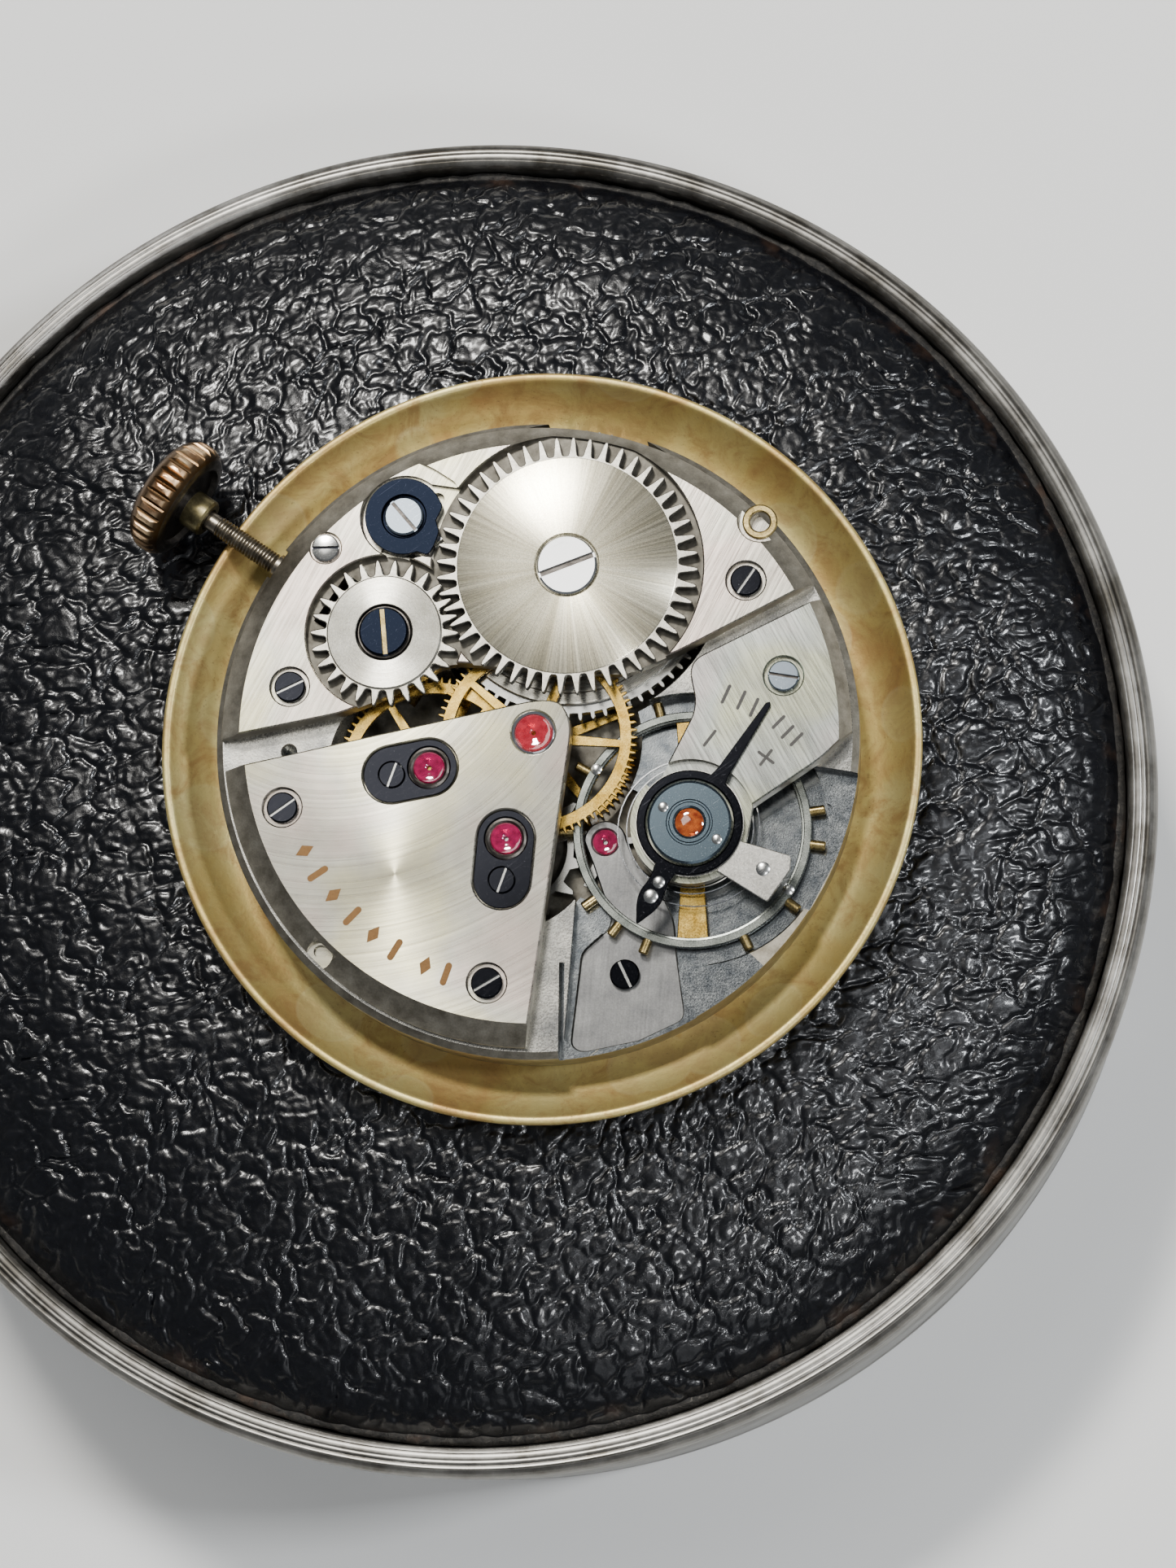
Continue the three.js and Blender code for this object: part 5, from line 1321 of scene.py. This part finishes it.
def make_train():
    centre_pitch, third_pinion = pitch_radii(CENTRE, THIRD, 80, 10)
    third_pitch, fourth_pinion = pitch_radii(THIRD, CENTRE, 75, 10)
    fourth_pitch, escape_pinion = pitch_radii(CENTRE, ESCAPE, 80, 8)
    out, back = bearing(CENTRE, THIRD), bearing(THIRD, CENTRE)
    centre_pinion = math.dist(CENTRE, BARREL) - BARREL_PITCH
    arbor = lathe([(0, -1.05), (0.27, -1.05), (0.27, 0.47), (0.4, 0.47), (0.4, 1.97), (0, 1.97)], 32)
    leaves = pinion(CENTRE, CENTRE_PINION, centre_pinion, bearing(CENTRE, BARREL), 1.5, 1.97)
    wheel = train_wheel(CENTRE, 80, centre_pitch, out, 20, 0.8, 0.95)
    solid = combined(wheel, join=[arbor, leaves], cut=[disc(CENTRE, 0.17, -2, ABOVE, 20)])
    part("centre_wheel_cut", solid, "gilt_brass", "centre_wheel", CENTRE, "centre")
    joined = [disc(THIRD, 0.13, 0.55, 3.25, 20), disc(THIRD, 0.42, 1.95, 2.3, 40)]
    joined.append(pinion(THIRD, 10, third_pinion, back, 0.78, 1.05))
    solid = combined(train_wheel(THIRD, 75, third_pitch, back, 50, 2.02, 2.2), join=joined)
    part("third_wheel_cut", solid, "gilt_brass", "third_wheel", THIRD, "third")
    arbor = disc(CENTRE, 0.11, -1.2, 3.05, 20)
    joined = [arbor, disc(CENTRE, 0.45, 2.25, 2.6, 40), pinion(CENTRE, 10, fourth_pinion, out, 2.0, 2.35)]
    wheel = train_wheel(CENTRE, 80, fourth_pitch, bearing(CENTRE, ESCAPE), -5, 2.3, 2.48)
    part("fourth_wheel_cut", combined(wheel, join=joined), "gilt_brass", "fourth_wheel", CENTRE, "fourth")
    make_escape_wheel(escape_pinion)


def make_escape_wheel(pinion_pitch):
    tooth = [(2.5, -7), (2.8, -3.0), (3.12, 0.5), (3.02, 3.2), (2.7, 3.8), (2.5, 5)]  # radius, degrees
    ring = [polar(ESCAPE, r, 9 + i * 24 + turn) for i in range(15) for r, turn in tooth]
    wheel = prism(ring, 1.12, 1.28, spoke_windows(ESCAPE, 4, 0.6, 2.2, 0.28, 10), bevel=0.02)
    leaves = pinion(ESCAPE, 8, pinion_pitch, bearing(ESCAPE, CENTRE), 2.25, 2.53)
    solid = combined(wheel, join=[disc(ESCAPE, 0.12, 0.55, 3.25, 20), leaves])
    part("escape_wheel_cut", solid, "satin_steel", "escape_wheel", ESCAPE, "escape")


# ---- Balance ----

RIM_BOTTOM = 1.76
RIM_TOP = 2.14
RIM_INSIDE = 4.31
RIM_OUTSIDE = 4.72
TIMING_SCREWS = (8, -8, -38, -65, -112, -128, -145, 180, 150, 105)


def timing_screw(angle):
    """A screw that stands out from the balance's rim"""
    length, r = 0.6, 0.2
    profile = [(0, -0.25), (0.12, -0.25), (0.12, 0), (r, 0)]
    profile += [(r, length - 0.05), (r - 0.04, length), (0, length)]
    points, faces = lathe(profile, 24)
    turn = Matrix.Rotation(math.radians(angle), 4, "Z") @ Matrix.Rotation(math.radians(90), 4, "Y")
    foot = polar(BALANCE, RIM_OUTSIDE - 0.03, angle)
    place = Matrix.Translation((*foot, (RIM_BOTTOM + RIM_TOP) / 2)) @ turn
    return [tuple(place @ Vector(p)) for p in points], faces


def dot(at, r, level, rise=0.07):
    """A small domed pin head"""
    profile = [(0, level - 0.05), (r, level - 0.05), (r, level + rise * 0.3), (r * 0.75, level + rise * 0.8)]
    return lathe(profile + [(0, level + rise)], 28, at)


def make_balance():
    rim = [(RIM_INSIDE, RIM_BOTTOM + 0.03), (RIM_INSIDE + 0.03, RIM_BOTTOM), (RIM_OUTSIDE - 0.03, RIM_BOTTOM)]
    rim += [(RIM_OUTSIDE, RIM_BOTTOM + 0.03), (RIM_OUTSIDE, RIM_TOP - 0.04), (RIM_OUTSIDE - 0.04, RIM_TOP)]
    rim += [(RIM_INSIDE + 0.13, RIM_TOP), (RIM_INSIDE + 0.1, RIM_TOP - 0.05)]
    rim += [(RIM_INSIDE + 0.03, RIM_TOP - 0.06), (RIM_INSIDE, RIM_TOP - 0.1)]
    part("balance_rim", lathe(rim, 180, BALANCE), "balance_rim_metal", "balance_wheel", BALANCE, "balance")
    wide, narrow, reach, hub = 0.62, 0.4, RIM_INSIDE + 0.1, 1.2
    offsets = [(-wide, -reach), (wide, -reach), (narrow, -hub), (narrow, hub)]
    offsets += [(wide, reach), (-wide, reach), (-narrow, hub), (-narrow, -hub)]
    outline = [(BALANCE[0] + x, BALANCE[1] + y) for x, y in offsets]
    arms = combined(
        prism(outline, RIM_BOTTOM + 0.05, RIM_TOP - 0.12, bevel=0.03),
        join=[disc(BALANCE, 0.75, RIM_BOTTOM + 0.02, RIM_TOP - 0.05, 48)],
        cut=[disc(BALANCE, 0.28, 0, ABOVE, 24)],
    )
    part("balance_arms", arms, "gilt_brass", axis=BALANCE, body="balance", slot="gilt_brass")
    screws = merged(*[timing_screw(angle) for angle in TIMING_SCREWS])
    part("balance_timing_screws", screws, "screw_brass", axis=BALANCE, body="balance", slot="gilt_brass")
    bead = [(0, -0.02), (0.24, -0.02), (0.22, 0.05), (0.12, 0.09), (0, 0.1)]
    beads = [lathe([(r, RIM_TOP + z) for r, z in bead], 28, polar(BALANCE, 4.5, aim)) for aim in (-33, 147)]
    solid = merged(*beads)
    part("balance_rim_beads", solid, "satin_steel", axis=BALANCE, body="balance", slot="polished_steel")


def strip(path, thickness, bottom, top):
    """A thin upright band along a path"""
    points = np.array(path)
    along = np.gradient(points, axis=0)
    along /= np.linalg.norm(along, axis=1, keepdims=True)
    side = np.stack([-along[:, 1], along[:, 0]], axis=1) * thickness / 2
    section = ((side, bottom), (-side, bottom), (-side, top), (side, top))
    verts = [(*(p + shift[i]), z) for i, p in enumerate(points) for shift, z in section]
    faces = [(0, 1, 2, 3), tuple(range(len(verts) - 1, len(verts) - 5, -1))]
    for i in range(len(path) - 1):
        faces += [face[::-1] for face in band(4 * i, 4 * i + 4, 4)]
    return outward(verts, faces)


def make_hairspring():
    turns, inner, outer = 9, 0.6, 2.75
    stud = bearing(BALANCE, STUD)
    start = stud + 140
    steps = turns * 60
    coil = []
    for i in range(steps + 1):
        share = i / steps
        coil.append(polar(BALANCE, inner + (outer - inner) * share, start - 360 * turns * (1 - share)))
    for k in range(1, 25):
        coil.append(polar(BALANCE, outer + 0.5 * k / 24, start + (stud + 360 - start) * k / 24))
    part("hairspring_coil", strip(coil, 0.045, 2.3, 2.42), "polished_steel", "hairspring", BALANCE)


def pointed(aim, sections, tip):
    """A rounded outline that runs out from the balance to tip, at the angle aim, and back. sections are
    (radius, angle to the side) or (radius, angle to the side, rounding)."""
    sides = []
    for sign in (-1, 1):
        sides.append([(*polar(BALANCE, r, aim + sign * angle), *more) for r, angle, *more in sections])
    return rounded(sides[0] + tip + sides[1][::-1])


def make_regulator():
    end, tail_end = (9.25, 0.93), (4.05, -7.7)
    aim = bearing(BALANCE, end)
    tip = [polar(end, 0.11, aim - 90), (*polar(end, 0.16, aim), 0.1), polar(end, 0.11, aim + 90)]
    blade = pointed(aim, [(1.9, 12), (2.35, 6.5, 0.2)], tip)
    sections = [(1.9, -15), (2.6, -8, 0.3), (3.5, -8.5, 0.5)]
    paddle = pointed(bearing(BALANCE, tail_end), sections, [(*tail_end, 0.15)])
    levels = (REGULATOR_BOTTOM, REGULATOR_TOP)
    profile = [(0, levels[0]), (2.08, levels[0]), (2.08, levels[1] - 0.05), (2.03, levels[1]), (0, levels[1])]
    solid = combined(
        lathe(profile, 96, BALANCE),
        join=[prism(blade, *levels, bevel=0.03), prism(paddle, *levels, bevel=0.03)],
        cut=[bore(BALANCE, SCALE_OPENING, 0, REGULATOR_TOP, 96)],
    )
    part("regulator_black", solid, "black_polished_steel", "regulator", BALANCE, "regulator")
    solid = merged(dot((4.95, -6.05), 0.24, REGULATOR_TOP), dot((4.63, -6.6), 0.28, REGULATOR_TOP))
    part("regulator_pins", solid, "satin_steel", axis=BALANCE, body="regulator", slot="polished_steel")


def make_stud_carrier():
    plate = [(7.7, -4.3), (8.5, -4.55, 0.1), (10.1, -5.05, 0.15), (10.05, -5.6), (9.15, -6.85, 0.15)]
    plate.append((7.2, -5.6))
    top = REGULATOR_BOTTOM - 0.03
    tongue = prism(rounded(plate), CARRIER_BOTTOM, top, bevel=0.03)
    solid = combined(
        disc(BALANCE, 2.12, CARRIER_BOTTOM, top, 96),
        join=[tongue, disc(STUD, 0.24, 2.25, CARRIER_BOTTOM + 0.1, 24)],
        cut=[disc(BALANCE, SCALE_OPENING, 0, ABOVE, 96)],
    )
    part("stud_carrier_polished", solid, "bright_nickel", "stud_carrier", BALANCE)
    part("stud_screw", dot(STUD, 0.28, top), "satin_steel", axis=STUD, slot="polished_steel")


def make_shock_setting():
    face = [(0.58, 0.05), (0.66, 0), (0.78, 0), (0.82, 0.04), (0.88, 0.04), (0.92, 0), (1.55, 0)]
    face += [(1.64, 0.06)]
    profile = [(0.58, 3.45)] + [(r, SHOCK_TOP - down) for r, down in face]
    profile += [(1.64, 3.4), (1.22, 3.33), (1.22, 2.7), (0.16, 2.7), (0.16, 3.45)]
    solid = lathe(profile, 90, BALANCE)
    part("shock_setting_turned", solid, "shock_setting_steel", "shock_setting", BALANCE, crease=20)
    pins = [dot(at, 0.2, SHOCK_TOP, 0.05) for at in ((5.13, -3.1), (7.22, -4.4))]
    part("shock_setting_pins", merged(*pins), "satin_steel", axis=BALANCE, slot="polished_steel")
    stone = [(0, 3.48), (0.56, 3.48), (0.56, 3.76), (0.45, 3.81), (0.25, 3.835), (0, 3.84)]
    part("balance_endstone_cut", lathe(stone, 40, BALANCE), "amber", "balance_endstone", BALANCE, crease=60)


# ---- Stem and crown ----

CROWN_FLUTES = 30


def make_stem():
    profile = [(0, 5.3), (0.25, 5.3), (0.25, 6.0), (0.38, 6.0), (0.38, 8.2), (0.5, 8.2)]
    profile += [(0.5, 10.78), (0.3, 10.78), (0.3, 11.58), (0.5, 11.58), (0.5, 12.86), (0.42, 12.94)]
    pitch = 0.14
    s = 13.0
    while s < 15.8:
        profile += [(0.36, s), (0.42, s + pitch * 0.4), (0.42, s + pitch * 0.6)]
        s += pitch
    profile += [(0.38, s), (0.38, 17.8), (0, 17.8)]
    stem_part("winding_stem_threaded", lathe(profile, 32), "stem_steel", "winding_stem", crease=20)


def crown_face(spot, normal):
    """Picks the dark hollow (1) round the crown's boss."""
    return 1 if math.hypot(spot[0], spot[1]) < 2.25 and spot[2] < 17.6 else 0


def make_crown():
    flute = [(-0.5, 2.3), (-0.36, 2.34), (-0.2, 2.46), (0, 2.5), (0.2, 2.46), (0.36, 2.34)]
    body = prism(teeth(CENTRE, CROWN_FLUTES, 0, flute), 17.1, 19.1)
    dome = [(0, 17.2), (1.95, 17.2), (2.2, 17.28), (2.36, 17.45), (2.46, 17.68), (2.5, 17.9), (2.49, 18.1)]
    dome += [(2.43, 18.3), (2.3, 18.52), (2.12, 18.7), (1.85, 18.82), (1.4, 18.92), (0.8, 18.98), (0, 19.0)]
    recess = lathe([(0.8, 17.0), (1.85, 17.0), (1.7, 17.42), (0.8, 17.42)], 72)
    solid = combined(body, keep=[lathe(dome, 96)], cut=[recess, disc(CENTRE, 0.47, 16, 17.9, 32)])
    stem_part("crown_fluted", solid, ("worn_gold", "dark_steel"), "crown", pick=crown_face, crease=35)
    boss = lathe([(0.47, 16.3), (0.7, 16.3), (0.78, 16.4), (0.78, 17.5), (0.47, 17.5)], 48)
    stem_part("crown_boss", boss, "boss_brass", slot="worn_gold")


# ---- CAD parts that stay, with finer materials ----

KEPT = {
    "pad_felt": ("pad_core",),
    "satin_steel": ("mainspring", "barrel_arbor", "pallet_fork", "setting_lever", "yoke", "cannon_pinion"),
    "polished_steel": ("click_spring", "balance_staff"),
    "dark_steel": ("winding_pinion", "clutch_wheel"),
    "screw_brass": ("minute_wheel", "hour_wheel"),
}


def paint_kept_nodes():
    for paint, names in KEPT.items():
        for name in names:
            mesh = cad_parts[name].data
            mesh.materials.clear()
            mesh.materials.append(MAT[paint])


# ---- Studio ----

def make_floor():
    size, steps = 3000, 12
    line = [size * (i / steps - 0.5) for i in range(steps + 1)]
    points = [(x, y, 0) for x in line for y in line]
    mesh = finished_mesh("floor", (points, grid_faces(steps)), (0, 0, 0), ("pale_floor",), None, 30)
    floor = bpy.data.objects.new("floor", mesh)
    bpy.context.collection.objects.link(floor)


def softbox(name, azimuth, elevation, distance, size, radiance, color=(1, 1, 1), aim=(3, 0, 15)):
    """azimuth is where the light stands, counted from +X towards +Y"""
    a, e = math.radians(azimuth), math.radians(elevation)
    direction = Vector((math.cos(a) * math.cos(e), math.sin(a) * math.cos(e), math.sin(e)))
    data = bpy.data.lights.new(name, "AREA")
    data.shape = "RECTANGLE"
    data.size, data.size_y = size[0] * MM, size[1] * MM
    data.energy = radiance * math.pi * data.size * data.size_y
    data.color = color
    lamp = bpy.data.objects.new(name, data)
    bpy.context.collection.objects.link(lamp)
    lamp.location = (Vector(aim) + direction * distance) * MM
    lamp.rotation_mode = "QUATERNION"
    lamp.rotation_quaternion = (-direction).to_track_quat("-Z", "Y")


def make_lights():
    softbox("key", 108, 58, 420, (75, 60), 145, (1.0, 0.975, 0.935))
    softbox("panel", 127, 73, 314, (80, 80), 3.8, (1.0, 0.975, 0.92))
    softbox("side", -50, 60, 400, (45, 45), 65, (0.97, 0.98, 1.0))
    softbox("fill", -75, 40, 400, (220, 160), 0.8, (0.93, 0.96, 1.0))
    softbox("right", 6, 50, 400, (50, 45), 125, (0.93, 0.96, 1.0))
    world = bpy.data.worlds.new("studio")
    bpy.context.scene.world = world
    world.use_nodes = True
    background = world.node_tree.nodes["Background"]
    background.inputs["Color"].default_value = (0.80, 0.84, 0.90, 1)
    background.inputs["Strength"].default_value = 0.18


def make_camera():
    """Nearly overhead, tipped a little towards the near side"""
    back = Vector((0.0863, -0.1713, 0.9814)).normalized()
    target = Vector((5.18, -0.745, 19.0))
    data = bpy.data.cameras.new("camera")
    data.lens = 92.35
    data.sensor_width = 36
    data.clip_start, data.clip_end = 0.01, 10
    camera = bpy.data.objects.new("camera", data)
    bpy.context.collection.objects.link(camera)
    camera.location = (target + back * 160) * MM
    sideways = Vector((0, 1, 0)).cross(back).normalized()
    upwards = back.cross(sideways)
    camera.rotation_mode = "QUATERNION"
    camera.rotation_quaternion = Matrix((sideways, upwards, back)).transposed().to_quaternion()
    bpy.context.scene.camera = camera


for build in (
    make_ring, make_base, make_leather_pad, make_hem_band, make_dial, make_main_plate, make_barrel_bridge,
    make_train_bridge, make_gold_marks, make_balance_cock, make_regulator_scale, make_pallet_bridge,
    make_bridge_screws, make_jewels, make_ratchet_wheel, make_crown_wheel, make_click, make_barrel,
    make_train, make_balance, make_hairspring, make_regulator, make_stud_carrier, make_shock_setting,
    make_stem, make_crown, paint_kept_nodes, make_floor, make_lights, make_camera,
):
    build()
